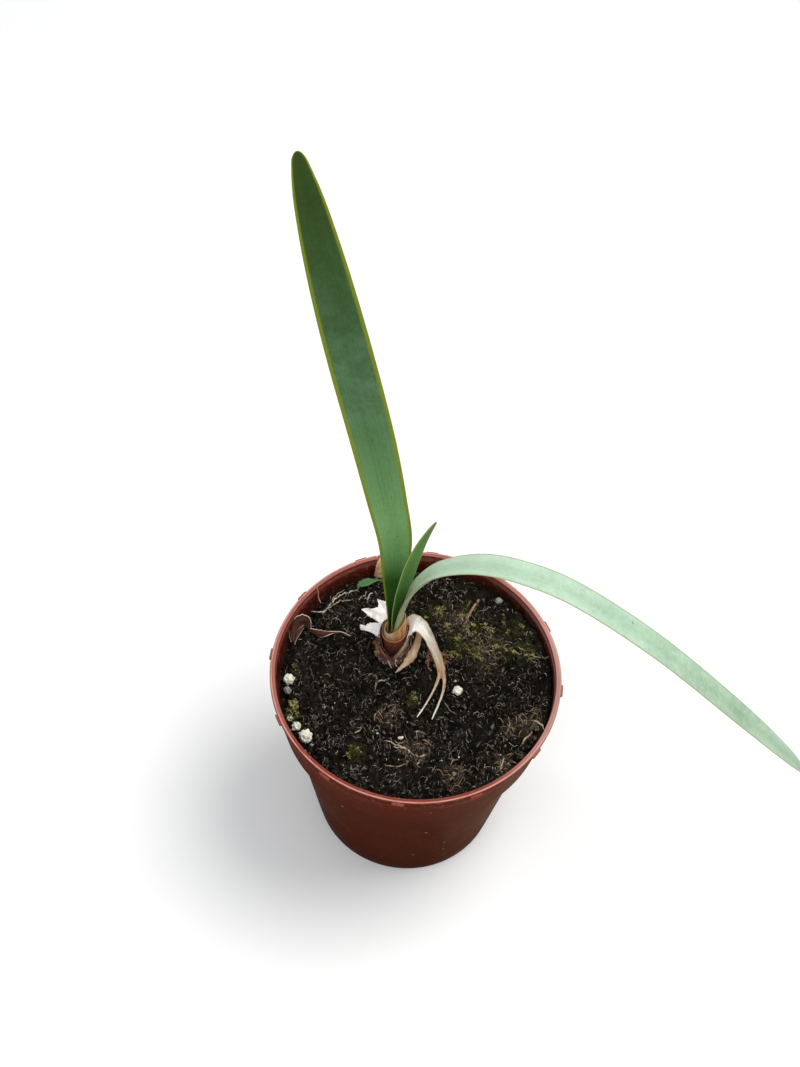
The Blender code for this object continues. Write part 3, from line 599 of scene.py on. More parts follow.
def pot_profile():
    """Section of the pot as a closed loop, from under the middle of its floor round to its top."""
    step = POT_HEIGHT - COLLAR_HEIGHT
    slope = (BODY_RADIUS - FOOT_RADIUS) / (step - 1.6)
    body = [(FOOT_RADIUS + slope * z, z) for z in (6, 14, 24, 34, 44, 53)]
    inner = [(FOOT_RADIUS + slope * z - WALL, z) for z in (53, 40, 26, 12)]
    return [
        (0.0, 0.0), (10.6, 0.0), (11.2, 0.3), (12.0, 2.2), (25.0, 2.2), (25.9, 0.3), (26.4, 0.0),
        (FOOT_RADIUS - 0.8, 0.0), (FOOT_RADIUS - 0.25, 0.15), (FOOT_RADIUS, 0.6), *body,
        (BODY_RADIUS - 0.2, step - 2.2), (BODY_RADIUS, step - 1.1), (BODY_RADIUS + 0.9, step - 0.6),
        (COLLAR_RADIUS - 0.7, step - 0.15), (COLLAR_RADIUS, step + 0.15), (COLLAR_RADIUS + 0.1, step + 0.8),
        (COLLAR_RADIUS + 0.85, step + 5.5), (COLLAR_RADIUS + 1.6, step + 11.0), (RIM_RADIUS - 0.95, POT_HEIGHT - 3.9),
        (RIM_RADIUS - 0.62, POT_HEIGHT - 3.5), (RIM_RADIUS - 0.62, POT_HEIGHT - 3.0),
        (RIM_RADIUS - 0.85, POT_HEIGHT - 2.6), (RIM_RADIUS - 0.8, POT_HEIGHT - 2.0),
        (RIM_RADIUS - 0.6, POT_HEIGHT - RIM_LIP - 0.2), (RIM_RADIUS - 0.15, POT_HEIGHT - RIM_LIP),
        (RIM_RADIUS, POT_HEIGHT - RIM_LIP + 0.25), (RIM_RADIUS, POT_HEIGHT - 0.4),
        (RIM_RADIUS - 0.12, POT_HEIGHT - 0.12), (RIM_RADIUS - 0.4, POT_HEIGHT), (RIM_RADIUS - 0.62, POT_HEIGHT - 0.03),
        (RIM_RADIUS - 0.74, POT_HEIGHT - 0.16), (RIM_RADIUS - 0.9, POT_HEIGHT - 0.16),
        (RIM_RADIUS - 1.02, POT_HEIGHT - 0.04), (RIM_RADIUS - 1.3, POT_HEIGHT - 0.02),
        (RIM_RADIUS - 1.55, POT_HEIGHT - 0.2), (RIM_RADIUS - 1.6, POT_HEIGHT - 0.55),
        (RIM_RADIUS - 1.62, POT_HEIGHT - 1.7), (RIM_RADIUS - 1.85, POT_HEIGHT - 2.1),
        (RIM_RADIUS - 2.0, POT_HEIGHT - 5.0), (COLLAR_RADIUS - 0.3, step + 9.0),
        (COLLAR_RADIUS - WALL - 0.1, step + 1.3), (BODY_RADIUS - WALL, step), *inner,
        (FOOT_RADIUS - WALL + 0.4, 4.4), (FOOT_RADIUS - WALL - 0.6, 3.4), (0.0, 3.4),
    ]


def rounded_box(bm, size, radius, height, angle):
    """A box with rounded edges at (radius, height), turned round Z by the angle."""
    corners = bmesh.ops.create_cube(bm, size=1.0)["verts"]
    for vertex in corners:
        x, y, z = (0.001 * a * b for a, b in zip(vertex.co, size))
        vertex.co = Matrix.Rotation(angle, 3, "Z") @ Vector((x + 0.001 * radius, y, z + 0.001 * height))
    bm.normal_update()
    edges = list({edge for vertex in corners for edge in vertex.link_edges})
    bmesh.ops.bevel(bm, geom=edges, offset=0.0003, segments=3, affect="EDGES", profile=0.5)


def shape_by(piece, bm, operation):
    """Joins or cuts a piece by a bmesh, and keeps only the result."""
    mesh = bpy.data.meshes.new("guide")
    bm.to_mesh(mesh)
    bm.free()
    guide = bpy.data.objects.new("guide", mesh)
    bpy.context.scene.collection.objects.link(guide)
    modifier = piece.modifiers.new("shape", "BOOLEAN")
    modifier.operation = operation
    modifier.solver = "EXACT"
    modifier.object = guide
    result = bpy.data.meshes.new_from_object(piece.evaluated_get(bpy.context.evaluated_depsgraph_get()))
    piece.modifiers.clear()
    piece.data = result
    bpy.data.objects.remove(guide, do_unlink=True)


def build_pot():
    shape = Shape()
    rings = []
    for radius, height in pot_profile():
        count = POT_SIDES if radius > 0 else 1
        rings.append([shape.add((radius * math.cos(2 * math.pi * k / POT_SIDES),
                                 radius * math.sin(2 * math.pi * k / POT_SIDES), height))
                      for k in range(count)])
    for lower, upper in zip(rings, rings[1:]):
        shape.join(lower, upper)
    pot = make_piece("pot_shell", shape, pot_material(), "pot_plastic", "pot")
    lugs = bmesh.new()
    for k in range(LUGS):
        angle = math.radians(LUG_PHASE + 360 * k / LUGS)
        rounded_box(lugs, LUG_SIZE, RIM_RADIUS + LUG_REACH - LUG_SIZE[0] / 2, POT_HEIGHT - 1.03, angle)
    shape_by(pot, lugs, "UNION")
    cuts = bmesh.new()
    for k in range(DRAIN_HOLES):
        angle = 2 * math.pi * (k + 0.06) / DRAIN_HOLES
        made = bmesh.ops.create_cone(cuts, cap_ends=True, segments=30, radius1=0.001 * DRAIN_RADIUS,
                                     radius2=0.001 * DRAIN_RADIUS, depth=0.008)
        place = Vector((DRAIN_CIRCLE * math.cos(angle), DRAIN_CIRCLE * math.sin(angle), 3.0)) * 0.001
        bmesh.ops.translate(cuts, vec=place, verts=made["verts"])
    rounded_box(cuts, (4.0, 1.0, 1.6), RIM_RADIUS - 0.6, POT_HEIGHT, math.radians(NICK_ANGLE))
    shape_by(pot, cuts, "DIFFERENCE")
    pot.data.shade_smooth()
    pot.data.set_sharp_from_angle(angle=math.radians(42.0))


# Soil

def patch_share(x, y, patches):
    """How much a place belongs to the patches (x, y, radius), from 0 to 1."""
    share = 0.0
    for px, py, radius in patches:
        share = max(share, math.exp(-(((x - px) ** 2 + (y - py) ** 2) / radius ** 2) ** 1.5))
    return share


def inner_radius(height):
    """Radius of the pot's inner wall near the soil's surface."""
    step = POT_HEIGHT - COLLAR_HEIGHT
    low, high = COLLAR_RADIUS - WALL - 0.1, RIM_RADIUS - 2.0
    return low + (high - low) * (height - step - 1.3) / (COLLAR_HEIGHT - 6.3)


def build_soil():
    """The whole body of soil, closed, with its crumbly surface."""
    shape = Shape()
    floor = 3.4 + GAP
    step = POT_HEIGHT - COLLAR_HEIGHT
    walls = [(FOOT_RADIUS - WALL - 1.3, floor), (FOOT_RADIUS - WALL - 0.1, 5.0),
             (BODY_RADIUS - WALL - 0.5, step - 1.0), (COLLAR_RADIUS - WALL - 0.4, step + 1.3)]
    turns = [2 * math.pi * k / SOIL_SIDES for k in range(SOIL_SIDES)]
    rings = [[shape.add((0.0, 0.0, floor))]]
    for radius, height in walls:
        rings.append([shape.add((radius * math.cos(a), radius * math.sin(a), height)) for a in turns])
    for index in range(SOIL_RINGS):
        part = 1 - index / SOIL_RINGS
        ring = []
        for a in turns:
            radius = (SOIL_EDGE - 0.35) * part
            x, y = radius * math.cos(a), radius * math.sin(a)
            height = ground(x, y)
            if index == 0:
                height -= 1.0
            limit = inner_radius(height) - 0.12
            if radius > limit:
                x, y = x * limit / radius, y * limit / radius
            moss = patch_share(x, y, MOSS_PATCHES)
            ring.append(shape.add((x, y, height), (moss, patch_share(x, y, STRAW_PATCHES), 0.0)))
        rings.append(ring)
    rings.append([shape.add((0.0, 0.0, ground(0.0, 0.0)))])
    for lower, upper in zip(rings, rings[1:]):
        shape.join(lower, upper)
    make_piece("soil_surface", shape, soil_material(), "potting_mix", "soil")


def soil_place(rng, edge=41.6):
    """A random place on the soil, away from the neck."""
    while True:
        angle = rng.uniform(0, 2 * math.pi)
        radius = edge * math.sqrt(rng.random())
        place = Vector((radius * math.cos(angle), radius * math.sin(angle)))
        if (place - NECK).length > 5.0:
            return place


def build_crumbs():
    """Loose craggy crumbs and flat flakes, sunk a little into the surface."""
    rng = random.Random(11)
    shape = Shape()
    ball = unit_ball(2)
    small_ball = unit_ball(1)
    for k in range(1900):
        place = soil_place(rng, 41.9)
        size = 0.2 + 0.55 * rng.random() ** 3.0
        radii = [size * rng.uniform(0.9, 2.0), size * rng.uniform(0.5, 1.1), size * rng.uniform(0.3, 0.7)]
        centre = (place.x, place.y, ground(place.x, place.y) + 0.25 * size)
        shape.lump(centre, radii, ball if size > 0.4 else small_ball, (0.0, 0.0, rng.random()), 1.0, k * 0.73)
    tones = [(0.0, (0.003, 0.0022, 0.0016)), (0.6, (0.010, 0.0075, 0.005)), (0.85, (0.045, 0.032, 0.022)),
             (0.96, (0.12, 0.088, 0.058)), (1.0, (0.26, 0.21, 0.16))]
    make_piece("soil_crumbs", shape, toned_material("soil_crumb", tones, 0.85), "potting_mix")


def curl(rng, place, length, wander, lift):
    """Points of a curly fibre that lies on the soil from a place on."""
    heading = rng.uniform(0, 2 * math.pi)
    bend = rng.uniform(-wander, wander)
    steps = 5 if length < 3 else 8
    points = []
    x, y = place
    rise = rng.uniform(0.0, lift)
    for k in range(steps + 1):
        arch = math.sin(math.pi * k / steps) * rise
        if x * x + y * y > 41.9 ** 2:
            break
        points.append(Vector((x, y, ground(x, y) + 0.1 + arch)))
        heading += bend + rng.uniform(-wander, wander)
        x += math.cos(heading) * length / steps
        y += math.sin(heading) * length / steps
    return points


def fibre_share(place, patches):
    """How likely a fibre is at a place: within the patches, or else in loose tufts clear of the moss."""
    if patches:
        return patch_share(place.x, place.y, patches)
    tuft = ease(0.62 + 1.7 * noise.noise(Vector((place.x, place.y, 5.0)) * 0.17))
    return max(tuft, 0.12) * (1 - 0.85 * patch_share(place.x, place.y, MOSS_PATCHES))


def add_fibres(shape, rng, count, lengths, radii, tones, wander=0.5, lift=0.5, patches=None):
    """Curly fibres all over the soil, or only within the patches."""
    made = 0
    while made < count:
        place = soil_place(rng)
        if rng.random() > fibre_share(place, patches):
            continue
        made += 1
        points = curl(rng, place, rng.uniform(*lengths), wander, lift)
        if len(points) < 3:
            continue
        radius = rng.uniform(*radii)
        tone = rng.uniform(*tones)
        last = len(points) - 1
        thickness = [radius * (1 - 0.75 * abs(2 * k / last - 1) ** 3) for k in range(last + 1)]
        shape.strand(points, thickness, 3, [(k / last, 0.0, tone) for k in range(last + 1)])


def build_fibres():
    """Peat fibres all over the soil: most dark, many grey-brown, some tan, a few almost white."""
    rng = random.Random(23)
    shape = Shape()
    add_fibres(shape, rng, 1500, (1.2, 3.6), (0.09, 0.17), (0.0, 0.3), 0.7, 0.6)
    add_fibres(shape, rng, 1700, (0.7, 2.2), (0.06, 0.12), (0.3, 0.6), 0.9, 0.7)
    add_fibres(shape, rng, 800, (0.5, 1.9), (0.05, 0.1), (0.6, 0.88), 0.9, 0.8)
    add_fibres(shape, rng, 190, (0.5, 3.0), (0.05, 0.09), (0.88, 1.0), 0.6, 0.8)
    add_fibres(shape, rng, 380, (0.8, 3.2), (0.09, 0.2), (0.42, 0.7), 0.5, 0.8, STRAW_PATCHES)
    tones = [(0.0, (0.003, 0.0026, 0.002)), (0.3, (0.014, 0.0115, 0.0085)), (0.6, (0.095, 0.08, 0.06)),
             (0.82, (0.33, 0.29, 0.23)), (1.0, (0.74, 0.72, 0.68))]
    material = toned_material("peat_fibre", tones, 0.7)
    make_piece("soil_fibres", shape, material, "potting_mix")
    pale = Shape()
    add_fibres(pale, rng, 2000, (0.6, 2.6), (0.06, 0.11), (0.45, 0.78), 0.4, 0.9)
    add_fibres(pale, rng, 330, (0.5, 2.0), (0.05, 0.09), (0.85, 1.0), 0.4, 0.9)
    make_piece("pale_fibres", pale, material, "potting_mix")
    straw = Shape()
    add_fibres(straw, rng, 420, (1.0, 4.2), (0.1, 0.2), (0.0, 1.0), 0.22, 1.1, STRAW_PATCHES)
    tones = [(0.0, (0.05, 0.03, 0.018)), (0.5, (0.17, 0.115, 0.07)), (0.85, (0.36, 0.25, 0.165)),
             (1.0, (0.55, 0.45, 0.34))]
    make_piece("straw_litter", straw, toned_material("straw_bits", tones, 0.75), "potting_mix")


def build_moss():
    """Low cushions of olive moss: lumps on little mounds, with short shoots."""
    rng = random.Random(5)
    shape = Shape()
    ball = unit_ball(1)
    cushions = 0
    while cushions < 150:
        x, y = soil_place(rng)
        if rng.random() > patch_share(x, y, MOSS_PATCHES):
            continue
        cushions += 1
        wide = rng.uniform(0.6, 1.5)
        base_tone = rng.uniform(0.0, 1.0)
        for _ in range(int(9 * wide + 3)):
            angle = rng.uniform(0.0, 2 * math.pi)
            away = wide * math.sqrt(rng.random())
            px, py = x + away * math.cos(angle), y + away * math.sin(angle)
            height = ground(px, py) + 0.55 * wide * (1 - (away / wide) ** 2)
            tone = min(max(base_tone + rng.uniform(-0.3, 0.3), 0.0), 1.0)
            size = rng.uniform(0.1, 0.22)
            shape.lump((px, py, height), [size, size, 0.8 * size], ball, (0.0, 0.0, tone), 0.8, rng.uniform(0, 50))
            base = Vector((px, py, height))
            for _ in range(3):
                tip = Vector((rng.uniform(-0.6, 0.6), rng.uniform(-0.6, 0.6), rng.uniform(0.2, 0.6)))
                shape.strand([base, base + tip * 0.6, base + tip], [0.09, 0.07, 0.03], 3, [(0.0, 0.0, tone)] * 3)
    tones = [(0.0, (0.016, 0.017, 0.007)), (0.4, (0.055, 0.058, 0.017)), (0.7, (0.20, 0.205, 0.055)),
             (1.0, (0.56, 0.55, 0.22))]
    make_piece("moss", shape, toned_material("moss_green", tones, 0.8), "leaf_green")


# Leaves

def leaf_base(offset):
    """Where a leaf stands in the socket, at a place along the stack."""
    return Vector((*NECK, 0.0)) + STACK * offset * STACK_STEP


def add_leaf(shape, stations, rows, sides, turn_by, columns=14, margin=LEAF_MARGIN, ruffle=0.0, seed=0.0):
    """A leaf of lens-shaped section along stations of (x, y, z, width, cup, thickness)."""
    samples = smooth(stations, rows)
    centres = [Vector(sample[:3]) for sample in samples]
    rings = []
    for k, centre in enumerate(centres):
        part = k / (rows - 1)
        tangent = (centres[min(k + 1, rows - 1)] - centres[max(k - 1, 0)]).normalized()
        across = sides[0].lerp(sides[1], ease(part / turn_by))
        across = (across - tangent * across.dot(tangent)).normalized()
        normal = tangent.cross(across)
        width, cup, thickness = samples[k][3:]
        ring = []
        for j in range(2 * columns):
            step = j if j <= columns else 2 * columns - j
            u = -math.cos(math.pi * step / columns)
            half = 0.5 * (margin + max(thickness - margin, 0.0) * (1 - u * u))
            half *= math.sqrt(max(0.0, 1 - abs(u) ** 14)) * (1 if j <= columns else -1)
            wave = ruffle * noise.noise(Vector((part * 11, seed + (3 if u > 0 else 0), 0.0)))
            reach = 0.5 * width * (1 + 0.5 * wave / max(width, 1.0))
            place = centre + across * u * reach + normal * (cup * u * u + half + wave * u * u)
            ring.append(shape.add(place, (part, u, 1.0 if j <= columns else 0.0)))
        rings.append(ring)
    for lower, upper in zip(rings, rings[1:]):
        shape.join(lower, upper)
    shape.faces.append(tuple(rings[0][::-1]))
    shape.faces.append(tuple(rings[-1]))


def build_upright_leaf():
    x, y, _ = leaf_base(-1)
    stations = [
        (x, y, SOCKET_FLOOR + GAP, 3.8, 0.6, 0.9), (x, y, 79.0, 3.8, 0.6, 0.9),
        (x + 0.3, y + 1.4, 88.0, 4.3, 0.7, 1.0), (-8.6, 18.2, 100.0, 6.4, 0.8, 1.1),
        (-9.0, 20.7, 119.0, 10.0, 0.9, 1.2), (-12.1, 23.0, 136.0, 11.7, 0.9, 1.2),
        (-16.9, 26.3, 159.0, 12.7, 0.8, 1.1), (-23.6, 30.2, 187.0, 12.8, 0.7, 1.0),
        (-29.7, 33.8, 212.7, 11.3, 0.5, 0.9), (-34.6, 36.8, 234.0, 8.2, 0.3, 0.7),
        (-37.2, 38.5, 245.5, 4.6, 0.1, 0.5), (-37.8, 38.9, 248.6, 2.6, 0.0, 0.4),
        (-38.0, 39.0, 249.5, 0.9, 0.0, 0.35),
    ]
    shape = Shape()
    sides = (Vector((-0.5, -0.866, 0.0)), Vector((-1.0, -0.05, -0.1)))
    add_leaf(shape, stations, 205, sides, 0.31, ruffle=0.25, seed=1.0)
    green = [(0.0, (0.20, 0.25, 0.08)), (0.11, (0.012, 0.038, 0.003)), (0.26, (0.017, 0.058, 0.005)),
             (0.315, (0.125, 0.255, 0.09)), (0.375, (0.16, 0.30, 0.115)), (0.445, (0.105, 0.21, 0.078)),
             (0.54, (0.047, 0.108, 0.038)), (0.645, (0.028, 0.064, 0.016)), (0.76, (0.024, 0.050, 0.008)),
             (1.0, (0.036, 0.054, 0.006))]
    bloom_share = [(0.0, (0.0,) * 3), (0.4, (0.1,) * 3), (0.5, (0.4,) * 3), (0.56, (0.5,) * 3),
                   (0.63, (0.2,) * 3), (0.73, (0.0,) * 3)]
    material = leaf_material("leaf_green", green, (0.17, 0.21, 0.009), 0.77, (0.105, 0.19, 0.115), bloom_share,
                             0.45, 0.4)
    make_piece("upright_leaf", shape, material, "leaf_green", "leaf_upright")


def build_arching_leaf():
    x, y, _ = leaf_base(1)
    stations = [
        (x, y, SOCKET_FLOOR + GAP, 4.2, 0.7, 0.9), (x, y, 79.0, 4.3, 0.7, 0.9),
        (x + 0.3, y - 0.1, 88.0, 4.8, 0.8, 1.0), (x + 1.8, y - 0.3, 98.5, 6.2, 1.0, 1.1),
        (-1.4, 11.9, 108.8, 6.8, 1.2, 1.2), (4.8, 10.3, 119.8, 7.0, 1.1, 1.2),
        (15.8, 7.6, 127.9, 7.8, 0.9, 1.2), (28.2, 4.7, 129.5, 8.3, 0.7, 1.2),
        (44.8, 0.6, 125.5, 8.5, 0.6, 1.1), (69.8, -5.7, 110.8, 8.5, 0.5, 1.0),
        (97.2, -12.5, 88.4, 8.1, 0.4, 0.9), (113.0, -16.5, 74.6, 5.8, 0.3, 0.7),
        (120.2, -18.3, 67.8, 3.0, 0.1, 0.5), (122.8, -18.9, 65.4, 0.8, 0.0, 0.35),
    ]
    shape = Shape()
    sides = (Vector((0.5, 0.866, 0.0)), Vector((0.242, 0.970, 0.0)))
    add_leaf(shape, stations, 200, sides, 0.3, ruffle=0.22, seed=7.0)
    green = [(0.0, (0.45, 0.44, 0.24)), (0.10, (0.30, 0.33, 0.14)), (0.17, (0.42, 0.45, 0.28)),
             (0.24, (0.29, 0.34, 0.18)), (0.31, (0.40, 0.48, 0.34)), (0.385, (0.45, 0.54, 0.44)),
             (0.47, (0.33, 0.435, 0.34)), (0.66, (0.295, 0.41, 0.32)), (0.75, (0.23, 0.325, 0.225)),
             (0.82, (0.27, 0.37, 0.28)), (1.0, (0.24, 0.335, 0.235))]
    bloom_share = [(0.0, (0.05,) * 3), (0.25, (0.3,) * 3), (0.42, (0.75,) * 3), (0.68, (0.7,) * 3),
                   (0.75, (0.4,) * 3), (1.0, (0.45,) * 3)]
    material = leaf_material("leaf_glaucous", green, (0.25, 0.27, 0.09), 0.86, (0.40, 0.535, 0.42), bloom_share,
                             0.25, 0.5)
    make_piece("arching_leaf", shape, material, "leaf_glaucous", "leaf_arching")


def build_young_leaf():
    x, y, _ = leaf_base(0)
    stations = [
        (x, y, SOCKET_FLOOR + GAP, 2.6, 0.0, 0.7), (x, y, 79.0, 2.8, 0.1, 0.7),
        (x - 0.2, y, 88.0, 3.0, 0.2, 0.8), (-6.9, 13.5, 99.0, 3.6, 0.4, 0.9),
        (-5.4, 13.1, 109.0, 4.4, 0.5, 0.9), (-3.8, 13.0, 119.0, 4.3, 0.4, 0.8),
        (-1.6, 13.0, 129.0, 3.3, 0.2, 0.7), (0.7, 13.0, 136.5, 1.9, 0.1, 0.5),
        (2.2, 13.0, 140.3, 0.7, 0.0, 0.35),
    ]
    shape = Shape()
    sides = (Vector((-0.5, -0.866, 0.0)), Vector((-0.93, -0.35, 0.1)))
    add_leaf(shape, stations, 100, sides, 0.6, seed=4.0)
    green = [(0.0, (0.22, 0.26, 0.09)), (0.2, (0.034, 0.085, 0.010)), (0.4, (0.052, 0.135, 0.020)),
             (0.7, (0.105, 0.215, 0.053)), (1.0, (0.15, 0.21, 0.06))]
    bloom_share = [(0.0, (0.0,) * 3), (1.0, (0.3,) * 3)]
    material = leaf_material("leaf_young_green", green, (0.30, 0.38, 0.16), 0.84, (0.13, 0.24, 0.11),
                             bloom_share, 0.3, 0.4)
    make_piece("young_leaf", shape, material, "leaf_green", "leaf_young")


# Bulb and papery skin

def bulb_profile():
    """Half section of the bulb up to the soil's surface."""
    return [(0.0, 34.0), (4.5, 34.4), (6.8, 36.2), (10.6, 40.2), (12.2, 46.0), (11.5, 52.0), (9.0, 58.0),
            (6.2, 62.4), (4.5, 66.0), (NECK_RADIUS, 69.5)]


def cup_lift(angle):
    ragged = 0.3 * noise.noise(Vector((math.cos(angle), math.sin(angle), 2.0)) * 3.0)
    return 1.0 * math.cos(angle - 0.7) + ragged


def sheath_lift(angle):
    return 3.8 * math.cos(angle - 0.2)


def neck_lean(height):
    return NECK_LEAN * ease((LIP_HEIGHT - height) / 7.5) * ease((height - 64.0) / 7.0)


def build_bulb():
    """Bulb and roots under the soil, and the neck's outer cup and inner sheath above it."""
    def none(angle):
        return 0.0

    inner = SHEATH_RADIUS
    rows = [(r, z, none, 0.0, 0.0) for r, z in bulb_profile()]
    rows += [
        (3.1, 71.0, none, 0.0, 0.0), (2.9, 72.5, none, 0.0, 0.0), (3.0, 74.0, none, 0.0, 0.0),
        (3.25, 75.5, none, 0.0, 0.0), (3.5, 76.8, none, 0.0, 0.0), (3.7, 78.0, none, 0.0, 0.0),
        (NECK_RADIUS + 0.35, 79.2, cup_lift, 0.2, 0.0),
        (LIP_RADIUS - 0.12, LIP_HEIGHT - 0.5, cup_lift, 0.3, 0.0), (LIP_RADIUS - 0.1, LIP_HEIGHT, cup_lift, 0.95, 0.0),
        (LIP_RADIUS - 0.17, LIP_HEIGHT + 0.08, cup_lift, 1.0, 0.0),
        (LIP_RADIUS - 0.25, LIP_HEIGHT, cup_lift, 0.4, 0.0), (inner + 0.1, LIP_HEIGHT - 0.9, cup_lift, 0.0, 0.2),
        (inner, LIP_HEIGHT - 0.2, cup_lift, 0.0, 1.0), (inner - 0.05, LIP_HEIGHT + 1.4, sheath_lift, 0.0, 1.0),
        (inner - 0.25, SHEATH_HEIGHT - 1.2, sheath_lift, 0.1, 1.0),
        (inner - 0.36, SHEATH_HEIGHT - 0.2, sheath_lift, 0.85, 1.0),
        (inner - 0.42, SHEATH_HEIGHT, sheath_lift, 0.9, 1.0), (inner - 0.5, SHEATH_HEIGHT - 0.05, sheath_lift, 0.6, 1.0),
        # Painted shade: the sheath's inner floor round the leaves has a low sheath mark, so it takes the cup's darker
        # brown where the leaves come out.
        (inner - 0.6, SHEATH_HEIGHT - 0.6, sheath_lift, 0.0, 0.5),
        (2.2, SHEATH_HEIGHT - 1.0, sheath_lift, 0.0, 0.15), (1.0, SHEATH_HEIGHT - 1.1, sheath_lift, 0.0, 0.1),
        (0.0, SHEATH_HEIGHT - 1.2, none, 0.0, 0.1),
    ]
    shape = Shape()
    sides = 96
    rings = []
    for radius, height, lift, lip, sheath in rows:
        count = sides if radius > 0 else 1
        ring = []
        for k in range(count):
            angle = 2 * math.pi * k / sides
            around = Vector((math.cos(angle), math.sin(angle), 0.02 * height))
            wrinkle = 0.12 * noise.noise(around * 5.0) if radius > SOCKET_RADIUS else 0.0
            reach = radius + wrinkle if radius > 0 else 0.0
            cream = max(0.0, math.cos(angle - math.radians(200))) ** 2
            place = (NECK.x + reach * math.cos(angle), NECK.y + reach * math.sin(angle) - neck_lean(height),
                     height + lift(angle))
            ring.append(shape.add(place, (lip, sheath, cream)))
        rings.append(ring)
    for lower, upper in zip(rings, rings[1:]):
        shape.join(lower, upper)
    for index in range(ROOTS):
        angle = 2 * math.pi * (index + 0.3) / ROOTS
        reach = 11.0 + 3.0 * math.sin(index * 2.4)
        stations = [(NECK.x + math.cos(angle) * reach * part, NECK.y + math.sin(angle) * reach * part,
                     36.0 - drop, radius)
                    for part, drop, radius in ((0.2, 0.0, 1.0), (0.5, 5.0, 0.9), (0.8, 13.0, 0.8), (1.0, 22.0, 0.6))]
        samples = smooth(stations, 14)
        shape.strand([Vector(s[:3]) for s in samples], [s[3] for s in samples], 10, [(0.6, 1.0, 1.0)] * 14)
    make_piece("bulb_and_neck", shape, neck_material(), "bulb_skin", "bulb")


def add_sheet(shape, rows_of_points, marks):
    """A thin sheet with two faces, from rows of points that its middle passes through."""
    count = len(rows_of_points)
    width = len(rows_of_points[0])
    fronts = []
    backs = []
    for i, row in enumerate(rows_of_points):
        front = []
        back = []
        for j, point in enumerate(row):
            down = rows_of_points[min(i + 1, count - 1)][j] - rows_of_points[max(i - 1, 0)][j]
            side = row[min(j + 1, width - 1)] - row[max(j - 1, 0)]
            normal = down.cross(side)
            normal = normal.normalized() if normal.length > 1e-9 else Vector((0.0, 0.0, 1.0))
            front.append(shape.add(point + normal * PAPER / 2, marks[i][j]))
            back.append(shape.add(point - normal * PAPER / 2, marks[i][j]))
        fronts.append(front)
        backs.append(back)
    for i in range(count - 1):
        shape.join(fronts[i], fronts[i + 1], closed=False)
        shape.join(backs[i + 1], backs[i], closed=False)
    for rim_front, rim_back in (
            (fronts[0], backs[0]), (backs[-1], fronts[-1]),
            ([row[0] for row in backs], [row[0] for row in fronts]),
            ([row[-1] for row in fronts], [row[-1] for row in backs])):
        shape.join(rim_back, rim_front, closed=False)


def add_strip(shape, stations, sides, rows, columns, tones, ragged, wrinkle, seed, turn_by=1.0):
    """A torn strip along stations of (x, y, z, width, cup), with uneven margins and creases."""
    samples = smooth(stations, rows)
    centres = [Vector(sample[:3]) for sample in samples]
    points = []
    marks = []
    for k, centre in enumerate(centres):
        part = k / (rows - 1)
        tangent = (centres[min(k + 1, rows - 1)] - centres[max(k - 1, 0)]).normalized()
        across = sides[0].lerp(sides[1], ease(part / turn_by))
        across = (across - tangent * across.dot(tangent)).normalized()
        normal = tangent.cross(across)
        width, cup = samples[k][3:]
        line = []
        line_marks = []
        for j in range(columns):
            u = 2 * j / (columns - 1) - 1
            tear = ragged * noise.noise(Vector((part * rows * 0.35, seed, 1.0 if u > 0 else 5.0)))
            crease = wrinkle * noise.noise(Vector((part * 3.0 + seed, u * 3.2, seed)))
            reach = 0.5 * max(width, 0.25) * (1 + tear)
            line.append(centre + across * u * reach + normal * (cup * u * u + crease))
            tone = tones[0] + (tones[1] - tones[0]) * part
            tone += 0.12 * abs(u) ** 3 + 0.1 * noise.noise(Vector((part * 6, u * 2, seed)))
            line_marks.append((part, u, min(max(tone, 0.0), 1.0)))
        points.append(line)
        marks.append(line_marks)
    add_sheet(shape, points, marks)


def add_lobe(shape, root, outline, bulge, tones, seed, rows=14, columns=54):
    """A torn lobe: a sheet from a line on the neck out to its ragged outline."""
    inner = smooth(root, columns)
    outer = []
    for k in range(columns):
        place = k * (len(outline) - 1) / (columns - 1)
        index = min(int(place), len(outline) - 2)
        outer.append(Vector(outline[index]).lerp(Vector(outline[index + 1]), place - index))
    points = []
    marks = []
    for i in range(rows):
        part = i / (rows - 1)
        line = []
        line_marks = []
        for k in range(columns):
            start = Vector(inner[k])
            point = start.lerp(outer[k], part)
            point.z += bulge * 4 * part * (1 - part)
            crease = noise.noise(Vector((k * 0.33, part * 2.0, seed)))
            point.z += 0.28 * crease * min(1.0, 2 * part)
            point += Vector((0.0, 0.3 * part * noise.noise(Vector((k * 0.9, seed, 0.0))), 0.0))
            line.append(point)
            tone = tones[0] + (tones[1] - tones[0]) * part ** 3 + 0.1 * noise.noise(Vector((k * 0.4, part * 3, seed)))
            line_marks.append((part, 2 * k / columns - 1, min(max(tone, 0.0), 1.0)))
        points.append(line)
        marks.append(line_marks)
    add_sheet(shape, points, marks)


def from_front(angle):
    """How far round the neck an angle lies from its front, from 0 there to 1 at the back."""
    turn = (angle - math.radians(-98)) % (2 * math.pi)
    return min(turn, 2 * math.pi - turn) / math.pi


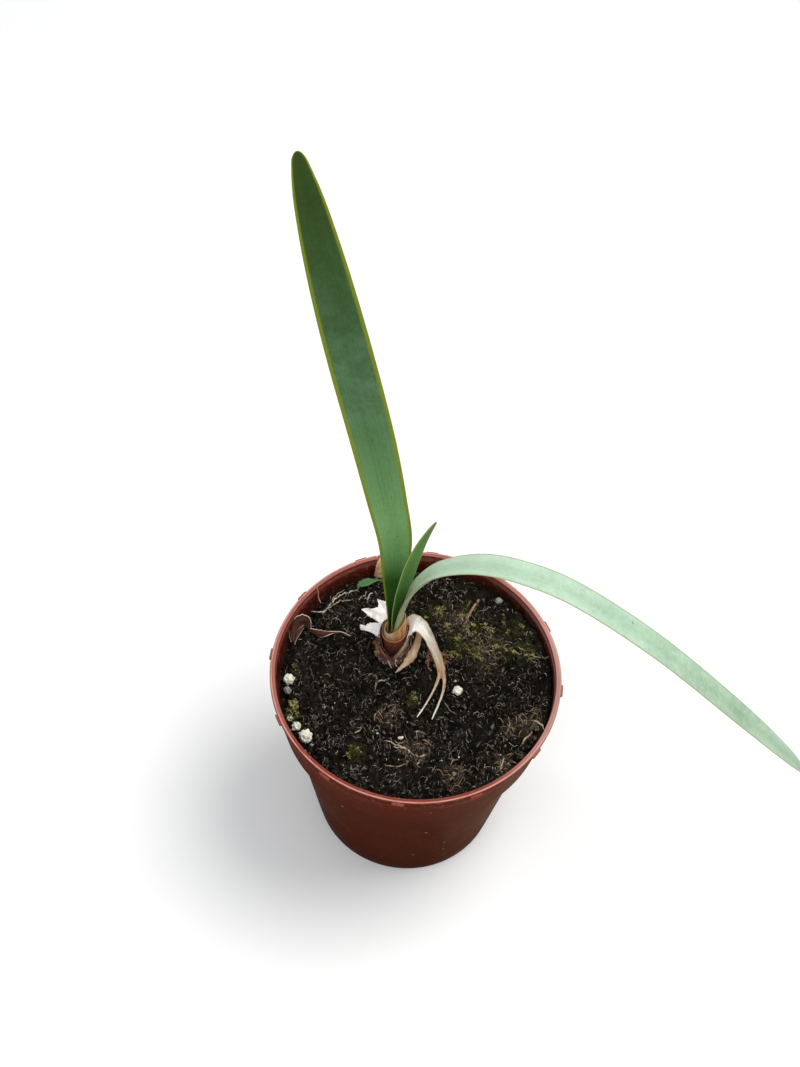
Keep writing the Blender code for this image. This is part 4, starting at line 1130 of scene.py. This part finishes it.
def add_collar(shape, radius, flare, bottom, height_at, tone_at, seed):
    """A ragged papery collar round the neck; height_at and tone_at give values at an angle."""
    columns = 170
    rows = 8
    points = []
    marks = []
    for i in range(rows):
        part = i / (rows - 1)
        line = []
        line_marks = []
        for k in range(columns):
            angle = 2 * math.pi * k / (columns - 1)
            around = Vector((math.cos(angle), math.sin(angle), seed))
            tear = 1 + 0.2 * noise.noise(around * 4.0) + 0.25 * noise.noise(around * 12.0)
            height = max(height_at(angle) * tear, 0.3)
            fold = 0.26 * noise.noise(around * 6.5 + Vector((0.0, 0.0, part)))
            reach = radius + fold + flare * part ** 2 * (0.6 + noise.noise(around * 2.0))
            line.append(Vector((NECK.x + reach * math.cos(angle), NECK.y + reach * math.sin(angle),
                                bottom + part * height)))
            tone = tone_at(angle) + 0.28 * noise.noise(around * 7.0) - 0.1 * part
            line_marks.append((part, math.sin(angle * 2) * 0.7, min(max(tone, 0.0), 1.0)))
        points.append(line)
        marks.append(line_marks)
    add_sheet(shape, points, marks)


def wrap_height(angle):
    """The skin round the neck stands low in front, so that the cup shows as a V, and high behind."""
    turn = min(math.pi * from_front(angle), math.pi / 2)
    return 0.3 + 8.3 * math.sin(turn) ** 1.2


def wrap_tone(angle):
    """Dark red-brown at the left, tan at the right."""
    return 0.72 - 0.2 * math.cos(angle)


def frill_height(angle):
    return 0.6 + 2.6 * math.cos(angle) ** 2


def frill_tone(angle):
    return 0.86 + 0.08 * math.sin(3 * angle)


def add_shreds(shape):
    """Pale torn edges, one under the other, along the right side of the cup's V."""
    upright = Vector((0.0, 0.0, 1.0))
    for k, tone in enumerate((0.3, 0.15, 0.45, 0.22, 0.55)):
        stations = []
        for step in range(7):
            part = step / 6
            angle = math.radians(-3.0 - 80.0 * part + 3.0 * math.sin(5.0 * part + k))
            height = 71.2 + wrap_height(angle) - 0.95 * k
            reach = 4.75 + 0.12 * k
            x, y = NECK.x + reach * math.cos(angle), NECK.y + reach * math.sin(angle) - 0.5 * part
            stations.append((x, y, height, 0.5 - 0.2 * part, 0.06))
        add_strip(shape, stations, (upright, upright), 30, 4, (tone, tone + 0.15), 0.4, 0.25, 20.0 + k)


def on_soil(places, lift):
    return [(x, y, ground(x, y) + lift) for x, y in places]


def add_apron(shape):
    """Thin pinkish skin that lies crumpled on the soil in front of the neck."""
    root = [(-10.4, 11.4, 72.8), (-9.6, 9.9, 72.4), (-7.5, 9.2, 72.1), (-5.4, 9.8, 72.5), (-4.0, 11.2, 73.4)]
    outline = [(-13.4, 11.2), (-13.0, 9.6), (-11.6, 9.0), (-11.8, 7.7), (-10.4, 7.5), (-9.9, 6.2), (-8.8, 6.8),
               (-7.8, 5.2), (-7.0, 5.4), (-6.4, 7.0), (-5.2, 6.6), (-4.4, 7.6), (-3.0, 7.8), (-2.6, 9.6)]
    add_lobe(shape, root, on_soil(outline, 0.35), 0.25, (0.84, 0.97), 14.0)
    edges = [
        [(-12.6, 12.4), (-11.4, 10.4), (-9.8, 8.8), (-8.2, 8.0)], [(-9.8, 8.8), (-8.6, 7.0), (-7.6, 5.0)],
        [(-3.6, 9.4), (-5.4, 8.2), (-7.4, 7.8)], [(-6.2, 8.4), (-6.6, 6.8), (-6.0, 5.8)],
        [(-11.8, 8.8), (-10.4, 7.8), (-10.2, 6.4)],
    ]
    tones = (0.3, 0.15, 0.05, 0.2, 0.3)
    for k, places in enumerate(edges):
        stations = [(*place, 0.36, 0.05) for place in on_soil(places, 0.8)]
        side = Vector((0.3, 0.5, 0.6 + 0.4 * math.sin(2.0 * k)))
        add_strip(shape, stations, (side, side), 24, 4, (tones[k], tones[k] + 0.2), 0.6, 0.5, 31.0 + k)


def add_tangle(shape):
    """Reddish-brown curled root ends around the strap's foot."""
    rng = random.Random(61)
    for k in range(26):
        angle = rng.uniform(0.0, 2 * math.pi)
        away = math.sqrt(rng.random())
        place = (6.4 + 4.2 * away * math.cos(angle), 8.6 + 3.6 * away * math.sin(angle))
        points = curl(rng, place, rng.uniform(2.2, 4.6), 0.85, 1.6)
        wide = rng.uniform(0.3, 0.75)
        stations = [(point.x, point.y, point.z + 0.25, wide, 0.1) for point in points]
        side = Vector((rng.uniform(-1, 1), rng.uniform(-1, 1), rng.uniform(0.2, 1.0)))
        tone = rng.choice((0.6, 0.68, 0.74, 0.8, 0.85))
        add_strip(shape, stations, (side, side), 20, 4, (tone, tone - 0.12), 0.5, 0.4, 71.0 + k)


def add_frills(shape):
    """Dark crumpled scraps: behind the strap, and down the neck's left side."""
    across = Vector((0.4, 0.3, 0.9))
    scraps = [
        [(-12.4, 14.2, 77.2, 1.0, 0.2), (-12.2, 12.4, 75.6, 1.3, 0.3), (-11.4, 10.6, 74.0, 1.0, 0.2),
         (-10.0, 9.2, 72.8, 0.4, 0.0)],
        [(-13.6, 13.0, 75.0, 0.5, 0.1), (-12.8, 11.4, 74.4, 0.8, 0.2), (-11.6, 9.6, 73.2, 0.3, 0.0)],
        [(-3.3, 15.6, 81.2, 2.6, 0.4), (-2.6, 13.6, 79.0, 3.0, 0.5), (-2.6, 11.4, 76.4, 2.4, 0.4),
         (-3.4, 9.6, 74.6, 0.8, 0.1)],
        [(-1.0, 15.4, 79.6, 1.6, 0.2), (-0.4, 13.6, 77.4, 1.8, 0.3), (-0.9, 11.6, 75.4, 1.2, 0.2),
         (-0.6, 9.8, 74.2, 0.4, 0.0)],
    ]
    tones = (0.74, 0.64, 0.86, 0.9)
    for k, stations in enumerate(scraps):
        add_strip(shape, stations, (across, across), 34, 9, (tones[k], tones[k] - 0.08), 0.9, 1.1, 51.0 + k)


def build_tunic():
    """The bulb's torn dry skin: lobes, strap with its tails, tan strip and papery collars."""
    shape = Shape()
    upper_root = [(-8.2, 18.4, 80.8), (-9.6, 18.0, 80.6), (-10.9, 17.0, 80.2), (-11.6, 15.9, 79.8)]
    upper_outline = [(-8.6, 20.6, 85.2), (-10.8, 21.5, 85.0), (-12.4, 22.0, 84.5), (-13.6, 23.1, 83.7),
                     (-12.9, 21.2, 83.3), (-13.2, 20.3, 83.0), (-15.1, 20.3, 82.0), (-17.0, 21.2, 80.8),
                     (-18.5, 21.5, 79.6), (-15.9, 18.6, 80.4), (-13.6, 17.0, 80.9), (-11.9, 15.7, 80.6)]
    add_lobe(shape, upper_root, upper_outline, 0.9, (0.02, 0.1), 3.0)
    lower_root = [(-11.7, 15.6, 80.4), (-12.0, 14.4, 78.6), (-11.9, 13.2, 76.6), (-11.4, 11.9, 74.8)]
    lower_outline = [(-11.5, 15.4, 81.0), (-12.8, 16.0, 80.2), (-14.4, 16.7, 79.5), (-16.0, 16.9, 78.6),
                     (-17.0, 16.3, 77.1), (-18.5, 17.0, 77.4), (-18.2, 15.8, 76.5), (-16.5, 15.9, 76.1),
                     (-14.7, 15.6, 75.7), (-13.3, 14.8, 75.2), (-11.9, 12.6, 74.6)]
    add_lobe(shape, lower_root, lower_outline, 0.8, (0.04, 0.2), 8.0)
    strap = [(-3.1, 14.7, 79.6, 6.6, 0.8), (-2.5, 14.7, 82.0, 6.4, 0.6), (-1.2, 14.6, 84.0, 5.8, 0.6),
             (0.8, 13.5, 84.3, 4.5, 0.6), (3.0, 11.6, 82.4, 3.3, 0.5), (5.0, 9.3, 79.4, 2.9, 0.4),
             (7.0, 6.6, 76.2, 2.7, 0.3), (8.0, 3.6, 74.7, 2.5, 0.2), (8.2, 1.2, 74.3, 2.2, 0.1)]
    add_strip(shape, strap, (Vector((0.1, 0.6, 0.8)), Vector((0.95, 0.25, 0.2))), 46, 11,
              (-0.16, 0.58), 0.16, 0.3, 2.0, 0.6)
    level = Vector((1.0, 0.15, 0.1))
    left_tail = [(7.7, 3.6, 74.7, 1.3, 0.1), (6.9, -0.1, 74.3, 0.9, 0.1), (5.4, -4.5, 74.3, 0.62, 0.1),
                 (3.4, -8.9, 74.4, 0.5, 0.0), (1.2, -12.9, 74.1, 0.25, 0.0)]
    right_tail = [(8.5, 3.6, 74.7, 1.3, 0.1), (9.1, 0.1, 74.4, 1.05, 0.1), (8.7, -3.9, 74.3, 0.72, 0.1),
                  (7.6, -8.0, 74.4, 0.6, 0.0), (5.8, -13.3, 74.1, 0.25, 0.0)]
    add_strip(shape, left_tail, (level, level), 34, 5, (0.5, 0.1), 0.35, 0.22, 4.0)
    add_strip(shape, right_tail, (level, level), 34, 5, (0.5, 0.2), 0.35, 0.22, 6.0)
    tan_strip = [(0.4, 13.4, 83.7, 1.6, 0.0), (0.2, 11.4, 80.4, 1.9, 0.2), (-0.9, 8.7, 77.2, 2.5, 0.3),
                 (-2.4, 6.4, 75.2, 2.6, 0.3), (-4.4, 4.4, 74.2, 1.3, 0.1), (-6.3, 2.5, 73.8, 0.3, 0.0)]
    add_strip(shape, tan_strip, (Vector((0.9, 0.3, 0.3)), Vector((0.75, -0.6, 0.1))), 34, 7,
              (0.45, 0.42), 0.55, 0.2, 9.0)
    add_collar(shape, LIP_RADIUS + 0.25, 0.35, 71.0, wrap_height, wrap_tone, 1.0)
    add_collar(shape, LIP_RADIUS + 0.5, 1.3, 70.6, frill_height, frill_tone, 6.0)
    add_shreds(shape)
    add_apron(shape)
    add_frills(shape)
    add_tangle(shape)
    make_piece("torn_skin", shape, paper_material(), "dry_skin", "tunic")


# Small things on the soil

def build_grains():
    ball = unit_ball(5)
    white = grain_material("perlite", (0.70, 0.68, 0.56), (0.84, 0.82, 0.72), (0.33, 0.30, 0.20), 0.6)
    grey = grain_material("stone", (0.16, 0.155, 0.145), (0.34, 0.33, 0.31), (0.08, 0.075, 0.07), 0.25)
    for names, places, material, slot in (("perlite", PERLITE, white, "perlite"), ("stone", STONES, grey, "stone")):
        for k, (x, y, radius) in enumerate(places):
            shape = Shape()
            points, faces = ball
            centre = Vector((x, y, soil_height(x, y) + 0.35 * radius + 0.25))
            for direction in points:
                direction = Vector(direction)
                large = noise.noise(direction * 1.7 + Vector((x, y, 0.0)))
                knobs = abs(noise.noise(direction * 4.5 + Vector((y, x, 0.0))))
                fine = noise.noise(direction * 12.0 + Vector((x, x, y)))
                distance = radius * (1 + 0.35 * large - 0.22 * knobs + 0.05 * fine)
                shape.add(centre + direction * distance)
            shape.faces.extend(faces)
            make_piece(f"{names}_grain_{k + 1}", shape, material, slot, f"{names}_{k + 1}")


def build_specks():
    """Crushed perlite: tiny pale grains here and there."""
    rng = random.Random(41)
    shape = Shape()
    ball = unit_ball(2)
    known = [(-1.0, -22.6, 0.45), (-10.5, -18.4, 0.4), (1.2, -17.6, 0.35), (12.6, 1.6, 0.5), (-30.2, -23.8, 0.6),
             (9.5, -26.6, 0.3), (14.5, -25.4, 0.3)]
    for x, y, size in known + [(*soil_place(rng), rng.uniform(0.1, 0.26)) for _ in range(35)]:
        centre = (x, y, ground(x, y) + 0.3 * size)
        shape.lump(centre, [size] * 3, ball, (0.0, 0.0, rng.random()), 0.8, x)
    tones = [(0.0, (0.35, 0.33, 0.28)), (1.0, (0.78, 0.76, 0.70))]
    make_piece("perlite_dust", shape, toned_material("perlite_crushed", tones, 0.9), "perlite")


def build_bark():
    """A lump of bark with moss on it, at the left wall."""
    shape = Shape()
    x, y, radius = BARK
    centre = Vector((x, y, soil_height(x, y) + 0.35 * radius))
    points, faces = unit_ball(4)
    for direction in points:
        direction = Vector(direction)
        bump = noise.noise(direction * 1.7 + Vector((x, y, 0.0)))
        ridges = abs(noise.noise(Vector((direction.x * 1.5, direction.y * 7.0, direction.z * 7.0))))
        tone = 0.5 + noise.noise(direction * 3.0)
        shape.add(centre + direction * radius * (1 + 0.5 * bump - 0.18 * ridges), (0.0, 0.0, tone))
    shape.faces.extend(faces)
    tones = [(0.0, (0.03, 0.02, 0.012)), (0.45, (0.12, 0.09, 0.04)), (0.75, (0.24, 0.22, 0.07)),
             (1.0, (0.33, 0.29, 0.12))]
    make_piece("bark_lump", shape, toned_material("mossy_bark", tones, 0.9, (0.3, 0.28, 0.1)), "dry_plant", "bark_chip")


def build_weeds():
    """The withered weed, the dry leaf scrap, the seedling and the twig."""
    withered = Shape()
    blade = [
        (-39.4, 11.4, 73.6, 0.7, 0.0), (-39.7, 12.9, 74.6, 1.5, 0.5), (-39.2, 14.9, 75.8, 2.4, 0.9),
        (-38.3, 16.5, 76.8, 3.0, 1.0), (-36.9, 17.6, 77.2, 3.0, 0.9), (-35.4, 17.5, 76.8, 2.6, 0.8),
        (-34.7, 16.6, 75.8, 1.7, 0.5), (-34.2, 15.5, 75.0, 0.8, 0.1),
    ]
    add_strip(withered, blade, (Vector((1.0, 0.15, 0.1)), Vector((-0.7, -0.5, -0.6))), 70, 11,
              (0.1, 0.45), 0.25, 0.7, 12.0)
    fold = [(-38.6, 10.6, 73.5, 0.4, 0.0), (-38.3, 12.2, 75.0, 0.9, 0.3), (-37.4, 13.8, 76.2, 1.2, 0.4),
            (-36.4, 15.2, 76.4, 1.0, 0.3), (-35.8, 16.2, 76.0, 0.4, 0.0)]
    add_strip(withered, fold, (Vector((0.8, -0.3, 0.4)), Vector((0.1, -0.7, -0.6))), 40, 7,
              (0.9, 0.5), 0.4, 0.5, 17.0)
    second = [(-34.2, 15.5, 75.0, 0.8, 0.1), (-32.4, 14.7, 74.8, 1.7, 0.4), (-30.4, 14.4, 74.6, 2.3, 0.6),
              (-28.4, 15.0, 74.3, 1.3, 0.3), (-26.6, 15.7, 74.0, 0.5, 0.0), (-24.3, 16.0, 73.7, 0.4, 0.0),
              (-21.4, 15.1, 73.2, 0.3, 0.0)]
    add_strip(withered, second, (Vector((0.2, -0.6, -0.7)), Vector((0.0, -1.0, -0.3))), 60, 9,
              (0.45, 0.75), 0.25, 0.45, 13.0)
    tones = [(0.0, (0.10, 0.036, 0.022)), (0.4, (0.034, 0.011, 0.007)), (0.8, (0.11, 0.033, 0.017)),
             (1.0, (0.24, 0.13, 0.09))]
    material = toned_material("withered", tones, 0.7, edge=(0.62, 0.50, 0.43))
    make_piece("weed_withered", withered, material, "dry_plant", "withered_weed")

    scrap = Shape()
    stations = [(-13.2, 38.6, 71.6, 3.4, 0.2), (-13.1, 38.9, 75.0, 4.2, 0.4), (-13.0, 39.4, 79.0, 3.8, 0.5),
                (-13.1, 40.3, 81.6, 1.6, 0.1)]
    add_strip(scrap, stations, (Vector((-1.0, -0.25, 0.0)), Vector((-1.0, -0.2, 0.1))), 26, 9,
              (0.2, 0.0), 0.3, 0.3, 15.0)
    tones = [(0.0, (0.74, 0.50, 0.30)), (0.5, (0.55, 0.33, 0.18)), (1.0, (0.3, 0.16, 0.08))]
    make_piece("leaf_scrap", scrap, toned_material("tan_dry_leaf", tones, 0.75), "dry_plant", "dry_leaf")

    young = Shape()
    stations = [
        (-20.4, 32.8, 75.3, 0.5, 0.0, 0.3), (-19.2, 33.5, 75.6, 2.2, 0.2, 0.4), (-17.4, 34.4, 75.6, 2.9, 0.3, 0.4),
        (-15.4, 35.3, 75.4, 1.6, 0.1, 0.4), (-13.6, 36.0, 75.0, 0.7, 0.0, 0.5), (-10.6, 36.4, 73.6, 0.6, 0.0, 0.5),
        (-8.8, 36.2, 71.4, 0.6, 0.0, 0.5),
    ]
    add_leaf(young, stations, 50, (Vector((-0.5, 0.85, 0.0)), Vector((-0.1, 1.0, 0.0))), 1.0, 8, 0.22, 0.3, 2.0)
    green = [(0.0, (0.035, 0.105, 0.03)), (0.5, (0.05, 0.13, 0.04)), (0.8, (0.06, 0.09, 0.03)),
             (1.0, (0.05, 0.05, 0.02))]
    share = [(0.0, (0.2,) * 3), (1.0, (0.2,) * 3)]
    material = leaf_material("seedling_green", green, (0.07, 0.14, 0.05), 0.85, (0.09, 0.19, 0.10), share, 0.3, 0.45)
    make_piece("seedling_leaf", young, material, "leaf_green", "seedling")

    stick = Shape()
    start, end = Vector((19.1, 31.3)), Vector((15.2, 22.5))
    points = []
    for k in range(24):
        part = k / 23
        place = start.lerp(end, part)
        bend = 0.5 * math.sin(part * math.pi)
        points.append(Vector((place.x - bend, place.y, soil_height(*place) + 0.95 + 0.25 * noise.noise(Vector((k, 0, 3.0)) * 0.5))))
    radii = [0.46 - 0.18 * k / 23 + 0.1 * noise.noise(Vector((k * 0.8, 2.0, 0.0))) for k in range(24)]
    stick.strand(points, radii, 10, [(k / 23, 0.0, 0.3 + 0.4 * k / 23) for k in range(24)])
    tones = [(0.0, (0.42, 0.24, 0.15)), (0.5, (0.33, 0.2, 0.12)), (1.0, (0.16, 0.1, 0.06))]
    make_piece("small_twig", stick, toned_material("twig_bark", tones, 0.8, (0.12, 0.07, 0.04)), "dry_plant", "twig")


def build_straws():
    """Single roots, straws and white splinters that stand out on the soil."""
    shape = Shape()

    def lie(places, radius, tone, lift=0.25, sides=6):
        samples = smooth([(*place, 0.0) for place in places], 6 * len(places))
        points = [Vector((s[0], s[1], ground(s[0], s[1]) + lift)) for s in samples]
        radii = [radius * (1 - 0.6 * abs(2 * k / (len(points) - 1) - 1) ** 3) for k in range(len(points))]
        shape.strand(points, radii, sides, [(0.0, 0.0, tone)] * len(points))

    lie([(-35.0, 24.3), (-31.4, 24.2), (-28.4, 27.5), (-25.8, 30.8), (-22.0, 32.7), (-19.6, 33.0)], 0.26, 0.93)
    lie([(-31.0, 23.6), (-28.8, 26.0), (-25.4, 28.4), (-21.6, 29.6)], 0.2, 0.85)
    lie([(-28.4, 27.5), (-27.6, 30.0), (-24.6, 33.0)], 0.14, 0.8)
    lie([(-35.4, 24.7), (-34.2, 24.4)], 0.45, 0.97)
    lie([(-5.3, -22.9), (-1.8, -23.4), (1.8, -25.6), (5.2, -25.1)], 0.34, 0.8)
    lie([(-7.8, -21.2), (-4.6, -22.0), (-0.3, -24.2)], 0.2, 0.86)
    lie([(-0.3, -24.2), (2.6, -27.2), (1.4, -29.0)], 0.2, 0.76)
    lie([(1.9, -19.6), (1.2, -17.8), (2.4, -16.9)], 0.14, 0.95)
    lie([(-4.2, -20.0), (-2.6, -19.6)], 0.55, 0.96)
    lie([(-11.5, -0.9), (-7.9, 0.8)], 0.24, 0.9)
    lie([(-16.9, 29.8), (-16.4, 31.4), (-15.3, 32.4)], 0.22, 0.97)
    lie([(-19.6, 29.7), (-18.0, 30.9), (-17.2, 32.9)], 0.17, 0.93)
    lie([(-18.2, 28.6), (-17.4, 30.2), (-15.8, 30.6)], 0.12, 0.9)
    lie([(-21.0, 33.0), (-18.6, 35.4)], 0.22, 0.85)
    lie([(33.0, -20.7), (35.6, -16.8), (38.9, -14.6)], 0.34, 0.78)
    lie([(28.4, -16.6), (29.8, -13.2), (29.2, -11.0)], 0.24, 0.7)
    lie([(35.0, -11.0), (38.0, -12.2), (40.6, -15.2)], 0.3, 0.9)
    lie([(27.1, -28.6), (28.2, -24.4)], 0.3, 0.84)
    lie([(12.1, -33.0), (14.0, -30.6), (16.5, -29.4)], 0.2, 0.76)
    lie([(8.4, -5.4), (10.4, -8.2), (13.4, -10.6)], 0.17, 0.62)
    lie([(30.2, 12.9), (34.6, 12.2), (39.3, 11.2), (42.4, 11.4)], 0.2, 0.74)
    lie([(31.8, 14.8), (35.2, 13.4)], 0.16, 0.7)
    lie([(-8.5, -28.6), (-5.4, -29.4), (-1.6, -28.9)], 0.22, 0.64)
    lie([(-17.5, -19.5), (-15.4, -17.3)], 0.24, 0.78)
    lie([(-13.4, 3.2), (-11.8, 0.0), (-12.4, -3.8)], 0.13, 0.72)
    wall_fibre = [(-33.0, 28.4, 79.8), (-32.6, 28.0, 77.6), (-32.4, 27.2, 75.8), (-31.6, 26.2, 74.2)]
    samples = smooth(wall_fibre, 16)
    shape.strand([Vector(s) for s in samples], [0.15] * 16, 6, [(0.0, 0.0, 0.8)] * 16)
    tones = [(0.0, (0.02, 0.014, 0.01)), (0.5, (0.20, 0.13, 0.08)), (0.7, (0.42, 0.29, 0.19)), (0.85, (0.55, 0.43, 0.31)),
             (1.0, (0.76, 0.74, 0.70))]
    make_piece("straws", shape, toned_material("straw", tones, 0.7), "dry_plant")


# Stage

def build_stage():
    mesh = bpy.data.meshes.new("floor")
    size = 4.0
    mesh.from_pydata([(-size, -size, 0.0), (size, -size, 0.0), (size, size, 0.0), (-size, size, 0.0)], [], [(0, 1, 2, 3)])
    mesh.materials.append(floor_material())
    floor = bpy.data.objects.new("floor", mesh)
    bpy.context.scene.collection.objects.link(floor)


def add_area_light(name, place, target, size, power, colour):
    data = bpy.data.lights.new(name, "AREA")
    data.shape = "DISK"
    data.size = size
    data.energy = power
    data.color = colour
    light = bpy.data.objects.new(name, data)
    light.location = place
    light.rotation_euler = (Vector(target) - Vector(place)).to_track_quat("-Z", "Y").to_euler()
    bpy.context.scene.collection.objects.link(light)


def build_light():
    world = bpy.data.worlds.new("studio")
    world.use_nodes = True
    background = world.node_tree.nodes["Background"]
    background.inputs["Color"].default_value = (0.95, 0.97, 1.0, 1.0)
    background.inputs["Strength"].default_value = 0.68
    bpy.context.scene.world = world
    add_area_light("key_light", (0.42, 0.12, 1.05), (0.0, 0.0, 0.1), 0.7, 9.5, (1.0, 0.985, 0.96))
    add_area_light("fill_light", (-0.45, -0.6, 0.85), (0.0, 0.0, 0.08), 0.9, 3.5, (0.97, 0.98, 1.0))
    bpy.context.scene.view_settings.view_transform = "Standard"


def build_camera():
    forward = Vector((0.0, math.cos(CAMERA_PITCH), -math.sin(CAMERA_PITCH)))
    level = Vector((1.0, 0.0, 0.0))
    raised = level.cross(forward)
    right = level * math.cos(CAMERA_ROLL) + raised * math.sin(CAMERA_ROLL)
    up = raised * math.cos(CAMERA_ROLL) - level * math.sin(CAMERA_ROLL)
    data = bpy.data.cameras.new("camera")
    data.lens = CAMERA_LENS
    data.sensor_width = 36.0
    data.sensor_fit = "AUTO"
    data.clip_start = 0.01
    camera = bpy.data.objects.new("camera", data)
    turn = Matrix((right, up, -forward)).transposed()
    camera.matrix_world = Matrix.Translation(CAMERA_PLACE * 0.001) @ turn.to_4x4()
    bpy.context.scene.collection.objects.link(camera)
    bpy.context.scene.camera = camera


build_camera()
build_stage()
build_light()
build_pot()
build_soil()
build_crumbs()
build_fibres()
build_moss()
build_bulb()
build_tunic()
build_upright_leaf()
build_arching_leaf()
build_young_leaf()
build_grains()
build_specks()
build_bark()
build_weeds()
build_straws()
